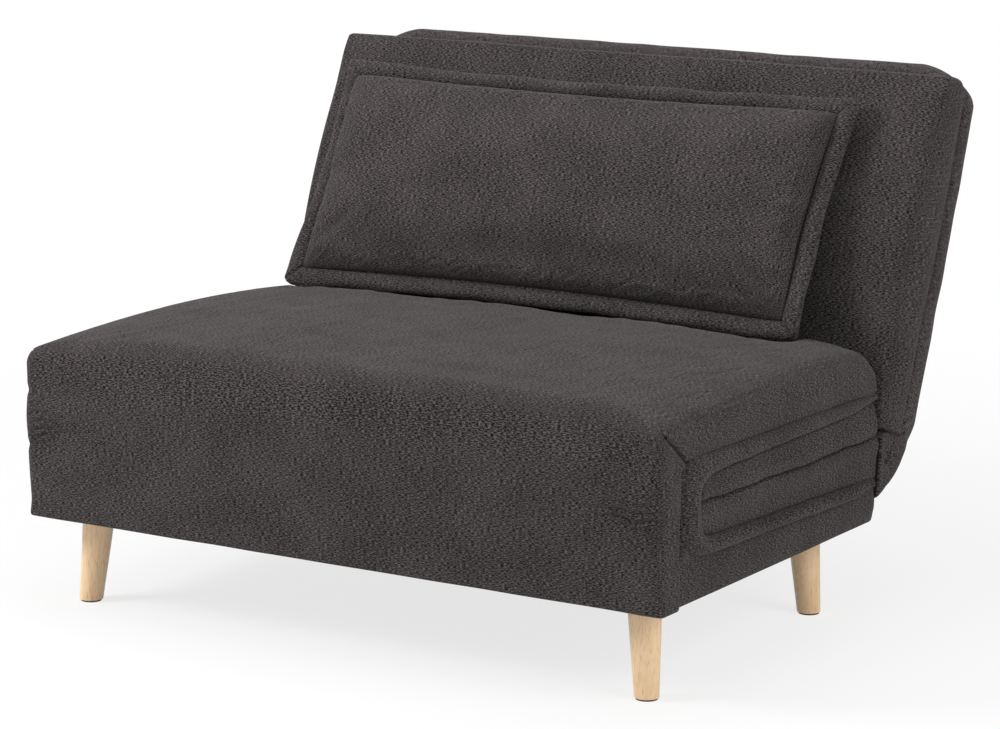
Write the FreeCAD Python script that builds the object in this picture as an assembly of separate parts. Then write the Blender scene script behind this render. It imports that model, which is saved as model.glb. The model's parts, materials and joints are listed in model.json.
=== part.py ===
"""Single sofa bed: a padded box base on four tapered legs, a seat that unfolds forward on a front crease,
a backrest that reclines flat about a rear crease, fold-out bed legs and a loose back cushion.

Millimetres. Origin on the floor under the middle of the object's box, +Z up, the front faces -Y, X is the
width. Every depth is counted back from the front plane, in which the front crease lies. The backrest is
drawn upright on the rear crease (height as Z, thickness as Y) and then leaned back as a whole.
"""
import FreeCAD
import Part
import math
import os

Vector = FreeCAD.Vector

# Widths: the base's half width, and how far other pieces stand outside or inside it
panel_half_width = 560.0
pad_overhang = 6.0
layer_inset = 15.0
back_overhang = 12.0

# Heights of the layers
base_bottom_z = 141.0
base_top_z = 197.0
crease_z = 282.0
mattress_top_z = 324.0
seat_frame_top_z = 350.0

# Depths, counted back from the front plane
front_pad_depth = 60.0
front_pad_round = 14.0
board_thickness = 12.0
rear_crease_depth = 685.0
base_crease_gap = 4.0
seat_crease_gap = 8.0

# Gaps
fabric_gap = 0.3
fold_gap = 0.5
running_gap = 0.05
side_gap = 0.5
overrun = 5.0

# Seat pad
seat_front_round = 40.0
seat_rear_round = 26.0
seat_front_fall = 14.0
seat_rear_fall = 20.0
seat_crown_z = 446.0
seat_side_z = 400.0

# Backrest
lean_deg = 21.0
back_height = 568.0
back_start = 1.5
back_pad_thickness = 49.7
back_crown = 36.0
back_edge_fall = 6.0
back_corner_round = 16.0
back_frame_depth = 25.0
rear_panel_thickness = 3.0

# Border rolls
roll_radius = 14.0
roll_half_depth = 11.5
roll_turn_radius = 50.0
roll_turn_depth = 78.0
lower_roll_z = 214.5
upper_roll_z = 336.0
back_roll_rise = 13.0

# Timber frame
rail_thickness = 22.0
side_panel_thickness = 10.5
slat_thickness = 7.0
slat_width = 55.0
slat_edge_margin = 30.0
base_slat_count = 5
seat_slat_count = 5
back_slat_count = 4
dust_cover_thickness = 1.5
panel_corner_radius = 28.0

# Wooden legs
leg_top_radius = 25.5
leg_bottom_radius = 18.0
leg_front_splay = 11.0
leg_rear_splay = 8.0
leg_front_depth = 86.0
leg_rear_inset = 81.0
leg_front_side_inset = 69.0
leg_rear_side_inset = 86.0
glide_radius = 16.0
glide_thickness = 3.0
leg_plate_size = 60.0
leg_plate_thickness = 3.0
leg_block_size = 71.0
leg_block_height = 40.0
leg_bolt_radius = 4.0
leg_bolt_length = 70.0
screw_radius = 2.2
screw_head_radius = 4.0
screw_head_height = 1.6
screw_length = 22.0
screw_inset = 8.0

# Front fold hinges
fold_hinge_width = 72.0
fold_hinge_places_share = (-0.34, 0.0, 0.34)
fold_knuckle_radius = 2.2
fold_pin_radius = 1.2
leaf_thickness = 2.0
leaf_offset = 1.2
leaf_setback = 5.0

# Recline hinges
recline_lug_radius = 15.0
recline_plate_thickness = 4.0
recline_bolt_radius = 5.0
recline_head_radius = 8.5
recline_head_height = 5.0
recline_foot_gap = 7.5
recline_foot_length = 57.5
recline_back_start = 30.0
recline_back_reach = 110.0
recline_slot_margin = 2.0

# Foot legs at the seat's rear end
foot_pivot_inset = 165.0
foot_tube_radius = 11.0
foot_tube_wall = 1.5
foot_tail = 6.0
foot_cap_height = 8.0
foot_floor_gap = 0.5
foot_bolt_radius = 4.0
foot_bolt_head_radius = 7.0
foot_bolt_head_height = 2.0
foot_pocket_margin = 18.0
foot_plane_gap = 1.0

# Rear leg on the backrest
rear_leg_inset = 68.0
rear_leg_side_inset = 242.0
rear_tube_radius = 10.0
rear_tube_wall = 1.5
rear_tube_tail = 5.0
rear_bracket_thickness = 3.0
rear_bracket_length = 46.0
rear_bolt_radius = 3.0
rear_foot_height = 4.0

# Loose cushion
cushion_width = 962.0
cushion_height = 404.0
cushion_flange = 34.0
cushion_flange_half_thickness = 12.0
cushion_front_crown = 84.0
cushion_rear_crown = 20.0
cushion_draw_in = 9.0
cushion_corner_round = 26.0
cushion_shift_x = -45.0
cushion_lean_deg = 26.5
cushion_crease_gap = 28.6
cushion_sink = 23.0

# Shares for soft outlines
half_share = 0.5
knuckle_share = 1 / 6
shoulder_power = 0.5
swell_shares = (-1, -0.92, -0.8, -0.6, -0.35, 0, 0.35, 0.6, 0.8, 0.92, 1)
quarter_arc_share = 0.5858
cushion_end_share = 0.16
cushion_shoulder_share = 0.84
cushion_shoulder_place_share = 0.62

# Sizes that follow from the ones above
base_depth = rear_crease_depth - base_crease_gap
seat_depth = rear_crease_depth - seat_crease_gap
pad_half_width = panel_half_width + pad_overhang
layer_half_width = panel_half_width - layer_inset
back_half_width = panel_half_width + back_overhang
foot_pivot_x = layer_half_width - foot_pivot_inset
rear_leg_half_span = back_half_width - rear_leg_side_inset
cushion_foot_depth = rear_crease_depth - cushion_crease_gap
cushion_foot_z = seat_crown_z - cushion_sink
base_rail_inner_x = panel_half_width - side_panel_thickness - fabric_gap - rail_thickness
seat_rail_inner_x = layer_half_width - rail_thickness
base_rear_rail_start = base_depth - leaf_thickness - rail_thickness
leg_rear_depth = base_depth - leg_rear_inset
recline_foot_end = base_rear_rail_start - recline_foot_gap
recline_foot_start = recline_foot_end - recline_foot_length
back_roll_height = back_height + back_roll_rise
rear_leg_height = back_height - rear_leg_inset
lean = math.radians(lean_deg)
roll_back_centre = back_pad_thickness + back_frame_depth + fabric_gap + roll_radius
reach_behind = back_roll_height * math.sin(lean) + roll_back_centre * math.cos(lean) + roll_radius
front_y = -(rear_crease_depth + reach_behind - fold_knuckle_radius) * half_share
rear_crease_y = front_y + rear_crease_depth
board_start = front_pad_depth + fabric_gap
board_end = board_start + board_thickness
layer_start = board_end + fabric_gap
right = Vector(1, 0, 0)
middle = Vector(0, 0, 0)


def depth(value):
    """Y of a place that lies this far behind the front plane."""
    return front_y + value


def block(x_range, y_range, z_range):
    """A plain box between two corners."""
    low = Vector(x_range[0], y_range[0], z_range[0])
    high = Vector(x_range[1], y_range[1], z_range[1])
    size = high - low
    return Part.makeBox(size.x, size.y, size.z, low)


def mirrored(shape):
    """The mirror image of a shape in the middle plane."""
    return shape.mirror(middle, right)


def pair(shape):
    """A right-hand piece and its left-hand mirror image, as two solids of one node."""
    return Part.makeCompound([shape, mirrored(shape)])


def rod(start, end, radius):
    """A round bar from one point to another."""
    direction = end - start
    return Part.makeCylinder(radius, direction.Length, start, direction)


def prism(points, x_range):
    """A flat outline in the side view, given as (y, z) points, carried across a stretch of the width."""
    corners = [Vector(x_range[0], y, z) for y, z in points]
    face = Part.Face(Part.makePolygon(corners + corners[:1]))
    return face.extrude(Vector(x_range[1] - x_range[0], 0, 0))


def corner_middle(start, corner, end):
    """The middle point of the round corner between two points."""
    chord = (start + end) * half_share
    return corner + (chord - corner) * quarter_arc_share


def arc(start, through, end):
    """An arc edge through three points."""
    return Part.Arc(start, through, end).toShape()


def line(start, end):
    """A straight edge."""
    return Part.LineSegment(start, end).toShape()


def swell(turn_share):
    """A soft shoulder as (share of the half width, share of the rise), from the middle to the side."""
    angle = turn_share * math.pi * half_share
    return math.sin(angle) ** shoulder_power, math.cos(angle) ** shoulder_power


def leaned(shape):
    """A backrest piece, drawn upright on the rear crease, in its leaning place."""
    placed = shape.copy()
    placed.translate(Vector(0, rear_crease_y, crease_z))
    placed.rotate(Vector(0, rear_crease_y, crease_z), right, -lean_deg)
    return placed


def save(name, shape):
    """Write one node."""
    shape.exportStep(os.path.join("parts", name + ".step"))


# Wooden legs and what holds them

class LegPlace:
    """Where one leg stands, and which way it splays."""

    def __init__(self, name, side, setback, block_setback, side_inset, splay, towards):
        self.name = name
        self.x = side * (panel_half_width - side_inset)
        self.y = depth(setback)
        self.block_y = depth(block_setback)
        self.foot = Vector(self.x + side * splay, self.y + towards * splay, 0)


def leg_places():
    """The four legs: the front blocks stand against the front board."""
    front_block = layer_start + leg_block_size * half_share
    places = []
    for side, side_name in ((-1, "left"), (1, "right")):
        places.append(LegPlace("front_" + side_name, side, leg_front_depth, front_block,
                               leg_front_side_inset, leg_front_splay, -1))
        places.append(LegPlace("rear_" + side_name, side, leg_rear_depth, leg_rear_depth,
                               leg_rear_side_inset, leg_rear_splay, 1))
    return places


def make_leg(place, bolt_hole):
    """A tapered wooden leg, cut level under the base and on its glide."""
    top = Vector(place.x, place.y, base_bottom_z)
    direction = place.foot - top
    taper = (leg_top_radius - leg_bottom_radius) / base_bottom_z
    start = top - direction * (overrun / direction.Length)
    length = direction.Length + overrun + overrun
    cone = Part.makeCone(leg_top_radius + taper * overrun, leg_bottom_radius - taper * overrun, length,
                         start, direction)
    reach = leg_top_radius + leg_top_radius + leg_front_splay
    slab = block((place.x - reach, place.x + reach), (place.y - reach, place.y + reach),
                 (glide_thickness, base_bottom_z))
    return cone.common(slab).cut(bolt_hole)


def leg_screw(x, y, plate_bottom):
    """One plate screw, head down, and the hole that it needs."""
    head_bottom = Vector(x, y, plate_bottom - screw_head_height)
    head_top = Vector(x, y, plate_bottom)
    tip = Vector(x, y, plate_bottom + screw_length)
    screw = rod(head_bottom, head_top, screw_head_radius).fuse(rod(head_top, tip, screw_radius))
    return screw, rod(head_top, tip, screw_radius + running_gap)


def make_legs():
    """Four legs with their glides, plates, hanger bolts, screws and corner blocks."""
    glides = []
    plates = []
    bolts = []
    screws = []
    blocks = []
    plate_bottom = base_bottom_z + dust_cover_thickness + screw_head_height + fabric_gap
    plate_top = plate_bottom + leg_plate_thickness
    half_plate = leg_plate_size * half_share
    half_block = leg_block_size * half_share
    for place in leg_places():
        bolt_bottom = Vector(place.x, place.y, base_bottom_z - leg_bolt_length * half_share)
        bolt_top = Vector(place.x, place.y, base_bottom_z + leg_bolt_length * half_share)
        bolt_hole = rod(bolt_bottom, bolt_top, leg_bolt_radius + running_gap)
        save("leg_" + place.name, make_leg(place, bolt_hole))
        glides.append(rod(place.foot, place.foot + Vector(0, 0, glide_thickness), glide_radius))
        bolts.append(rod(bolt_bottom, bolt_top, leg_bolt_radius))
        plate = block((place.x - half_plate, place.x + half_plate),
                      (place.block_y - half_plate, place.block_y + half_plate), (plate_bottom, plate_top))
        timber = block((place.x - half_block, place.x + half_block),
                       (place.block_y - half_block, place.block_y + half_block),
                       (plate_top, plate_top + leg_block_height))
        plate = plate.cut(bolt_hole)
        timber = timber.cut(bolt_hole)
        offset = half_plate - screw_inset
        for across in (-1, 1):
            for along in (-1, 1):
                screw, hole = leg_screw(place.x + across * offset, place.block_y + along * offset,
                                        plate_bottom)
                screws.append(screw)
                plate = plate.cut(hole)
                timber = timber.cut(hole)
        plates.append(plate)
        blocks.append(timber)
    save("leg_glides", Part.makeCompound(glides))
    save("leg_plates", Part.makeCompound(plates))
    save("leg_hanger_bolts", Part.makeCompound(bolts))
    save("leg_plate_screws", Part.makeCompound(screws))
    save("leg_corner_blocks", Part.makeCompound(blocks))


# Base box

def make_dust_cover():
    """The thin cloth under the base, with a hole for each hanger bolt."""
    cover = block((-base_rail_inner_x - rail_thickness, base_rail_inner_x + rail_thickness),
                  (depth(board_start), depth(base_depth)),
                  (base_bottom_z, base_bottom_z + dust_cover_thickness))
    for place in leg_places():
        hole_bottom = Vector(place.x, place.y, base_bottom_z - overrun)
        hole_top = Vector(place.x, place.y, base_bottom_z + overrun)
        cover = cover.cut(rod(hole_bottom, hole_top, leg_bolt_radius + running_gap))
    save("base_dust_cover", cover)


def front_pad(z_range, half_width, round_low):
    """A padded front block whose outer bottom edge is rounded when it is the lower one."""
    pad = block((-half_width, half_width), (depth(fold_gap), depth(front_pad_depth)), z_range)
    upright = [edge for edge in pad.Edges if is_front_upright(edge)]
    pad = pad.makeFillet(front_pad_round, upright)
    if round_low:
        low = [edge for edge in pad.Edges if edge.BoundBox.ZMax < z_range[0] + fabric_gap
               and edge.BoundBox.YMax < depth(front_pad_depth) - fabric_gap
               and edge.BoundBox.XLength > half_width]
        pad = pad.makeFillet(front_pad_round * half_share, low)
    return pad


def is_front_upright(edge):
    """Whether an edge of a front pad stands upright in its front face."""
    box = edge.BoundBox
    return box.ZLength > overrun and box.YMax < depth(front_pad_depth) - fabric_gap


def make_base():
    """Front pad and board, rails, slats and side and rear panels of the base box."""
    leaf_bottom = crease_z - leaf_offset - leaf_thickness
    rail_bottom = base_bottom_z + dust_cover_thickness
    rail_outer = base_rail_inner_x + rail_thickness
    rear_rail_start = base_rear_rail_start
    save("base_front_pad", front_pad((base_bottom_z, leaf_bottom), pad_half_width, True))
    save("base_front_board", block((-layer_half_width, layer_half_width),
                                   (depth(board_start), depth(board_end)), (rail_bottom, leaf_bottom)))
    side_rail = block((base_rail_inner_x, rail_outer), (depth(layer_start), depth(rear_rail_start)),
                      (rail_bottom, base_top_z))
    save("base_side_rail_right", side_rail)
    save("base_side_rail_left", mirrored(side_rail))
    save("base_rear_rail", block((-rail_outer, rail_outer),
                                 (depth(rear_rail_start), depth(rear_rail_start + rail_thickness)),
                                 (rail_bottom, base_top_z)))
    save("base_slats", slats(base_slat_count, base_rail_inner_x, (layer_start, recline_foot_start),
                             base_top_z - slat_thickness))
    panel = block((rail_outer + fabric_gap, panel_half_width), (depth(board_start), depth(base_depth)),
                  (base_bottom_z, base_top_z))
    corner = [edge for edge in panel.Edges if edge.BoundBox.YMin > depth(base_depth) - fabric_gap
              and edge.BoundBox.ZMax < base_bottom_z + fabric_gap]
    panel = panel.makeFillet(panel_corner_radius, corner)
    save("base_side_panels", pair(panel))
    save("base_rear_panel", block((-rail_outer, rail_outer),
                                  (depth(rear_rail_start + rail_thickness), depth(base_depth)),
                                  (base_bottom_z + panel_corner_radius, base_top_z)))


def slats(count, half_length, depth_range, bottom_z):
    """Equal boards across the width, evenly spread between two depths."""
    first = depth_range[0] + slat_edge_margin
    last = depth_range[1] - slat_edge_margin - slat_width
    step = (last - first) / (count - 1)
    boards = []
    for index in range(count):
        start = depth(first + index * step)
        boards.append(block((-half_length, half_length), (start, start + slat_width),
                            (bottom_z, bottom_z + slat_thickness)))
    return Part.makeCompound(boards)


def slot_sides():
    """The two sides of the room that one side's recline plates need, with their bolt's head and nut."""
    room = recline_head_height + recline_slot_margin
    plates = 2 * recline_plate_thickness + side_gap
    return recline_inner_x() - room, recline_inner_x() + plates + room


def recline_slot(z_range):
    """Room in the base's and the seat's layers for the recline plates of one side."""
    lug_end = rear_crease_depth + recline_lug_radius
    return block(slot_sides(), (depth(recline_foot_start), depth(lug_end)), z_range)


def recline_inner_x():
    """Inner face of the backrest's recline plate: the base's plate lies outside it, on the side rail."""
    return base_rail_inner_x - side_gap - recline_plate_thickness - recline_plate_thickness - fabric_gap


def make_lower_mattress():
    """The middle layer of the folding mattress, which stays on the base."""
    layer = block((-layer_half_width, layer_half_width), (depth(layer_start), depth(base_depth)),
                  (base_top_z + fabric_gap, crease_z - fold_gap))
    slot = recline_slot((base_top_z, crease_z))
    save("lower_mattress", layer.cut(slot).cut(mirrored(slot)))


def roll_path(x, roll_z, end_z, towards):
    """A border roll's middle line: along the side, then round the front turn to the crease."""
    rear = Vector(x, depth(seat_depth), roll_z)
    turn_start = Vector(x, depth(roll_turn_depth + roll_turn_radius), roll_z)
    turn_corner = Vector(x, depth(roll_turn_depth), roll_z)
    turn_end = Vector(x, depth(roll_turn_depth), roll_z + towards * roll_turn_radius)
    last = Vector(x, depth(roll_turn_depth), end_z)
    turn_middle = corner_middle(turn_start, turn_corner, turn_end)
    return Part.Wire([line(rear, turn_start), arc(turn_start, turn_middle, turn_end), line(turn_end, last)])


def border_roll(roll_z, end_z, towards):
    """A soft border roll with an oval section, on the right-hand side."""
    x = layer_half_width + fabric_gap + roll_half_depth
    start = Vector(x, depth(seat_depth), roll_z)
    oval = Part.Ellipse(start + Vector(0, 0, roll_radius), start + Vector(roll_half_depth, 0, 0), start)
    section = Part.Wire([oval.toShape()])
    return roll_path(x, roll_z, end_z, towards).makePipeShell([section], True, False)


def make_border_rolls():
    """The rolls round the sides of the lower and upper layers."""
    lower = border_roll(lower_roll_z, crease_z - fold_gap, 1)
    save("lower_border_roll_right", lower)
    save("lower_border_roll_left", mirrored(lower))
    upper = border_roll(upper_roll_z, crease_z + fold_gap, -1)
    save("upper_border_roll_right", upper)
    save("upper_border_roll_left", mirrored(upper))


# Seat

def foot_pivot_z():
    """Height of the foot legs' pivots, in the middle of the seat's frame."""
    return (mattress_top_z + seat_frame_top_z) * half_share


def foot_pocket_half_width():
    """Half the width that the folded foot legs need in the seat's rear end."""
    return foot_pivot_x + foot_tube_radius + foot_pocket_margin


def foot_pocket_start():
    """Depth at which the pocket for the foot legs begins."""
    return seat_depth - 2 * foot_tube_radius - foot_plane_gap - foot_bolt_head_height


def seat_section(x, top_z):
    """The seat pad's outline at one place across the width: front edge, crowned top, rear edge."""
    front = depth(fold_gap)
    rear = depth(seat_depth)
    bottom = seat_frame_top_z + fabric_gap
    a = Vector(x, front, bottom)
    b = Vector(x, front, top_z - seat_front_round)
    c = Vector(x, front + seat_front_round, top_z - seat_front_fall)
    crown = Vector(x, (front + rear) * half_share, top_z)
    d = Vector(x, rear - seat_rear_round, top_z - seat_rear_fall)
    e = Vector(x, rear, top_z - seat_rear_fall - seat_rear_round)
    f = Vector(x, rear, bottom)
    front_corner = Vector(x, front, top_z - seat_front_fall)
    rear_corner = Vector(x, rear, top_z - seat_rear_fall)
    return Part.Wire([line(a, b), arc(b, corner_middle(b, front_corner, c), c), arc(c, crown, d),
                      arc(d, corner_middle(d, rear_corner, e), e), line(e, f), line(f, a)])


def make_seat_pad():
    """The crowned seat pad, lower towards its two sides, with the pocket for the foot legs."""
    rise = seat_crown_z - seat_side_z
    wires = []
    for share in swell_shares:
        across, height = swell(abs(share))
        x = math.copysign(across, share) * pad_half_width
        wires.append(seat_section(x, seat_side_z + rise * height))
    pad = Part.makeLoft(wires, True, False)
    half = foot_pocket_half_width()
    pocket = block((-half, half), (depth(foot_pocket_start()), depth(seat_depth + overrun)),
                   (seat_frame_top_z, seat_crown_z + overrun))
    save("seat_pad", pad.cut(pocket))


def make_seat():
    """Mattress layer, front pad and board, rails and slats of the folding seat."""
    leaf_top = crease_z + leaf_offset + leaf_thickness
    rail_inner = seat_rail_inner_x
    rail_outer = seat_rail_inner_x + rail_thickness
    rear_rail_start = foot_pocket_start() - rail_thickness
    rail_z = (mattress_top_z + fabric_gap, seat_frame_top_z)
    save("seat_front_pad", front_pad((leaf_top, seat_frame_top_z), pad_half_width, False))
    save("seat_front_board", block((-rail_outer, rail_outer), (depth(board_start), depth(board_end)),
                                   (leaf_top, seat_frame_top_z)))
    layer = block((-layer_half_width, layer_half_width), (depth(layer_start), depth(seat_depth)),
                  (crease_z + fold_gap, mattress_top_z))
    slot = recline_slot((crease_z, crease_z + recline_lug_radius + recline_slot_margin))
    save("seat_mattress", layer.cut(slot).cut(mirrored(slot)))
    side_rail = block((rail_inner, rail_outer), (depth(layer_start), depth(rear_rail_start)), rail_z)
    save("seat_side_rails", pair(side_rail))
    rear_rail = block((-rail_outer, rail_outer),
                      (depth(rear_rail_start), depth(rear_rail_start + rail_thickness)), rail_z)
    for bolt in foot_bolts(running_gap):
        rear_rail = rear_rail.cut(bolt)
    save("seat_rear_rail", rear_rail)
    save("seat_slats", slats(seat_slat_count, rail_inner, (layer_start, rear_rail_start),
                             seat_frame_top_z - slat_thickness))


# Front fold hinges

def hinge_leaf(middle_x, towards, knuckle_ranges, free_ranges):
    """One leaf with its knuckles: it runs back over a front pad to the board behind it."""
    half = fold_hinge_width * half_share
    leaf_z = sorted((crease_z + towards * leaf_offset, crease_z + towards * (leaf_offset + leaf_thickness)))
    leaf = block((middle_x - half, middle_x + half), (depth(0), depth(board_end)), leaf_z)
    for start, end in free_ranges:
        leaf = leaf.cut(block((start, end), (depth(-overrun), depth(leaf_setback)), leaf_z))
    for start, end in knuckle_ranges:
        barrel = rod(Vector(start, front_y, crease_z), Vector(end, front_y, crease_z), fold_knuckle_radius)
        leaf = leaf.fuse(barrel)
    bore = rod(Vector(middle_x - half, front_y, crease_z), Vector(middle_x + half, front_y, crease_z),
               fold_pin_radius + running_gap)
    return leaf.cut(bore)


def make_fold_hinges():
    """Three strap hinges whose pins lie in the front crease."""
    lower = []
    upper = []
    pins = []
    half = fold_hinge_width * half_share
    reach = fold_hinge_width * knuckle_share
    for share in fold_hinge_places_share:
        x = share * panel_half_width * 2
        outer_knuckles = ((x - half, x - reach - side_gap), (x + reach + side_gap, x + half))
        inner_knuckle = ((x - reach, x + reach),)
        outer_free = ((x - half, x - reach), (x + reach, x + half))
        inner_free = ((x - reach - side_gap, x + reach + side_gap),)
        lower.append(hinge_leaf(x, -1, outer_knuckles, inner_free))
        upper.append(hinge_leaf(x, 1, inner_knuckle, outer_free))
        pins.append(rod(Vector(x - half, front_y, crease_z), Vector(x + half, front_y, crease_z),
                        fold_pin_radius))
    save("fold_hinge_lower_leaves", Part.makeCompound(lower))
    save("fold_hinge_upper_leaves", Part.makeCompound(upper))
    save("fold_hinge_pins", Part.makeCompound(pins))


# Foot legs

def foot_leg_y():
    """Y of the foot legs' middle line, in the seat's rear pocket."""
    return depth(foot_pocket_start() + foot_plane_gap + foot_tube_radius)


def foot_bolts(gap):
    """The two pivot bolts' shanks, with a gap round them where they are holes."""
    rail_y = depth(foot_pocket_start() - rail_thickness)
    head_y = foot_leg_y() + foot_tube_radius + fabric_gap
    return [rod(Vector(side * foot_pivot_x, rail_y, foot_pivot_z()),
                Vector(side * foot_pivot_x, head_y, foot_pivot_z()), foot_bolt_radius + gap)
            for side in (-1, 1)]


def make_foot_legs():
    """Two steel legs that swing out under the foot end, their caps and their pivot bolts."""
    pivot_height = crease_z - (foot_pivot_z() - crease_z)
    cap_end = foot_pivot_x - pivot_height + foot_floor_gap
    tube_end = cap_end + foot_cap_height
    y = foot_leg_y()
    z = foot_pivot_z()
    tail = Vector(foot_pivot_x + foot_tail, y, z)
    tube = rod(tail, Vector(tube_end, y, z), foot_tube_radius)
    bore = rod(tail, Vector(tube_end, y, z), foot_tube_radius - foot_tube_wall)
    pivot = Vector(foot_pivot_x, y, z)
    across = Vector(0, foot_tube_radius, 0)
    pivot_hole = rod(pivot - across, pivot + across, foot_bolt_radius + running_gap)
    tube = tube.cut(bore).cut(pivot_hole)
    cap = rod(Vector(tube_end, y, z), Vector(cap_end, y, z), foot_tube_radius)
    save("foot_leg_right", tube)
    save("foot_leg_left", mirrored(tube))
    save("foot_leg_cap_right", cap)
    save("foot_leg_cap_left", mirrored(cap))
    bolts = []
    for shank in foot_bolts(0):
        head_start = Vector(shank.BoundBox.Center.x, y + foot_tube_radius + fabric_gap, z)
        head_end = head_start + Vector(0, foot_bolt_head_height - fabric_gap, 0)
        bolts.append(shank.fuse(rod(head_start, head_end, foot_bolt_head_radius)))
    save("foot_leg_pivot_bolts", Part.makeCompound(bolts))


# Backrest, drawn upright

def back_section(x, front, rear):
    """The back pad's outline at one place across the width, with a softly crowned front."""
    bottom = back_start
    top = back_height
    a = Vector(x, rear, bottom)
    b = Vector(x, front + back_corner_round, bottom)
    c = Vector(x, front, bottom + back_corner_round)
    crown = Vector(x, front - back_crown, (bottom + top) * half_share)
    d = Vector(x, front, top - back_corner_round)
    e = Vector(x, front + back_corner_round, top)
    f = Vector(x, rear, top)
    low_corner = Vector(x, front, bottom)
    high_corner = Vector(x, front, top)
    return Part.Wire([line(a, b), arc(b, corner_middle(b, low_corner, c), c), arc(c, crown, d),
                      arc(d, corner_middle(d, high_corner, e), e), line(e, f), line(f, a)])


def make_back_pad():
    """The padded front of the backrest, thinner at its two sides."""
    wires = []
    for share in swell_shares:
        across, height = swell(abs(share))
        wires.append(back_section(math.copysign(across, share) * back_half_width,
                                  back_edge_fall * (1 - height), back_pad_thickness))
    pad = Part.makeLoft(wires, True, False)
    slot = back_slot()
    save("back_pad", leaned(pad.cut(slot).cut(mirrored(slot))))


def back_slot():
    """Room in the back pad for the recline plates of one side."""
    height = recline_back_reach + recline_slot_margin
    return block(slot_sides(), (-overrun - back_crown, back_pad_thickness + overrun), (-overrun, height))


def make_back_frame():
    """Rails, slats, side bands and rear panel of the backrest."""
    front = back_pad_thickness + fabric_gap
    rear = back_pad_thickness + back_frame_depth
    rail_inner = recline_inner_x() + recline_plate_thickness + fabric_gap
    rail_outer = rail_inner + rail_thickness
    low = back_start + roll_radius
    top_rail = back_height - roll_radius - rail_thickness
    side_rail = block((rail_inner, rail_outer), (front, rear), (low, top_rail))
    save("back_side_rails", leaned(pair(side_rail)))
    save("back_top_rail", leaned(block((-rail_outer, rail_outer), (front, rear),
                                       (top_rail, top_rail + rail_thickness))))
    low_reach = recline_inner_x() - fabric_gap
    save("back_bottom_rail", leaned(block((-low_reach, low_reach), (front, rear),
                                          (low, low + rail_thickness))))
    band = block((rail_outer + fabric_gap, back_half_width), (front, rear), (low, back_height))
    save("back_side_bands", leaned(pair(band)))
    first = recline_back_reach + fabric_gap
    last = top_rail - slat_edge_margin - slat_width
    step = (last - first) / (back_slat_count - 1)
    boards = [block((-rail_inner, rail_inner), (front, front + slat_thickness),
                    (first + index * step, first + index * step + slat_width))
              for index in range(back_slat_count)]
    save("back_slats", leaned(Part.makeCompound(boards)))
    inner = back_half_width - 2 * roll_radius - fabric_gap
    panel = block((-inner, inner), (rear + fabric_gap, rear + fabric_gap + rear_panel_thickness),
                  (low, back_roll_height - roll_radius - fabric_gap))
    save("back_rear_panel", leaned(panel))


def make_back_rolls():
    """The border rolls round the rear edge of the backrest: two sides and the top."""
    x = back_half_width - roll_radius
    y = roll_back_centre
    top = back_roll_height - roll_radius - fabric_gap
    side = rod(Vector(x, y, back_start), Vector(x, y, top), roll_radius)
    save("back_border_roll_right", leaned(side))
    save("back_border_roll_left", leaned(mirrored(side)))
    across = rod(Vector(-back_half_width, y, back_roll_height),
                 Vector(back_half_width, y, back_roll_height), roll_radius)
    rims = [edge for edge in across.Edges if edge.BoundBox.XLength < fabric_gap]
    save("back_border_roll_top", leaned(across.makeFillet(roll_radius * half_share, rims)))


# Recline hinges

def make_recline_hinges():
    """On each side a plate on the base, a plate on the backrest, and the bolt and nut of their pivot."""
    back_x = (recline_inner_x(), recline_inner_x() + recline_plate_thickness)
    base_x = (back_x[1] + side_gap, back_x[1] + side_gap + recline_plate_thickness)
    bore = rod(Vector(back_x[0] - overrun, rear_crease_y, crease_z),
               Vector(base_x[1] + overrun, rear_crease_y, crease_z), recline_bolt_radius + running_gap)
    foot_front = depth(recline_foot_start)
    foot_rear = depth(recline_foot_end)
    rail_low = base_bottom_z + rail_thickness
    lug_y = rear_crease_y
    base_points = ((foot_front, rail_low), (foot_rear, rail_low), (foot_rear, base_top_z),
                   (lug_y + recline_lug_radius, crease_z), (lug_y - recline_lug_radius, crease_z),
                   (foot_front, base_top_z))
    lug = rod(Vector(base_x[0], lug_y, crease_z), Vector(base_x[1], lug_y, crease_z), recline_lug_radius)
    base_plate = prism(base_points, base_x).fuse(lug).cut(bore)
    save("recline_base_plates", pair(base_plate))
    rail_front = back_pad_thickness + fabric_gap
    rail_rear = back_pad_thickness + back_frame_depth
    arm_points = ((-recline_lug_radius, 0), (0, -recline_lug_radius), (rail_rear, recline_back_start),
                  (rail_rear, recline_back_reach), (rail_front, recline_back_reach))
    arm = prism(arm_points, back_x)
    back_lug = rod(Vector(back_x[0], 0, 0), Vector(back_x[1], 0, 0), recline_lug_radius)
    back_plate = leaned(arm.fuse(back_lug)).cut(bore)
    save("recline_back_plates", pair(back_plate))
    head_start = back_x[0] - fabric_gap - recline_head_height
    shank = rod(Vector(back_x[0] - fabric_gap, lug_y, crease_z),
                Vector(base_x[1] + recline_head_height, lug_y, crease_z), recline_bolt_radius)
    head = rod(Vector(head_start, lug_y, crease_z), Vector(back_x[0] - fabric_gap, lug_y, crease_z),
               recline_head_radius)
    nut = rod(Vector(base_x[1], lug_y, crease_z), Vector(base_x[1] + recline_head_height, lug_y, crease_z),
              recline_head_radius)
    nut = nut.cut(rod(Vector(base_x[1], lug_y, crease_z), Vector(base_x[1] + overrun, lug_y, crease_z),
                      recline_bolt_radius + running_gap))
    save("recline_pivot_bolts", pair(shank.fuse(head)))
    save("recline_pivot_nuts", pair(nut))


# Rear leg on the backrest

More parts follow.
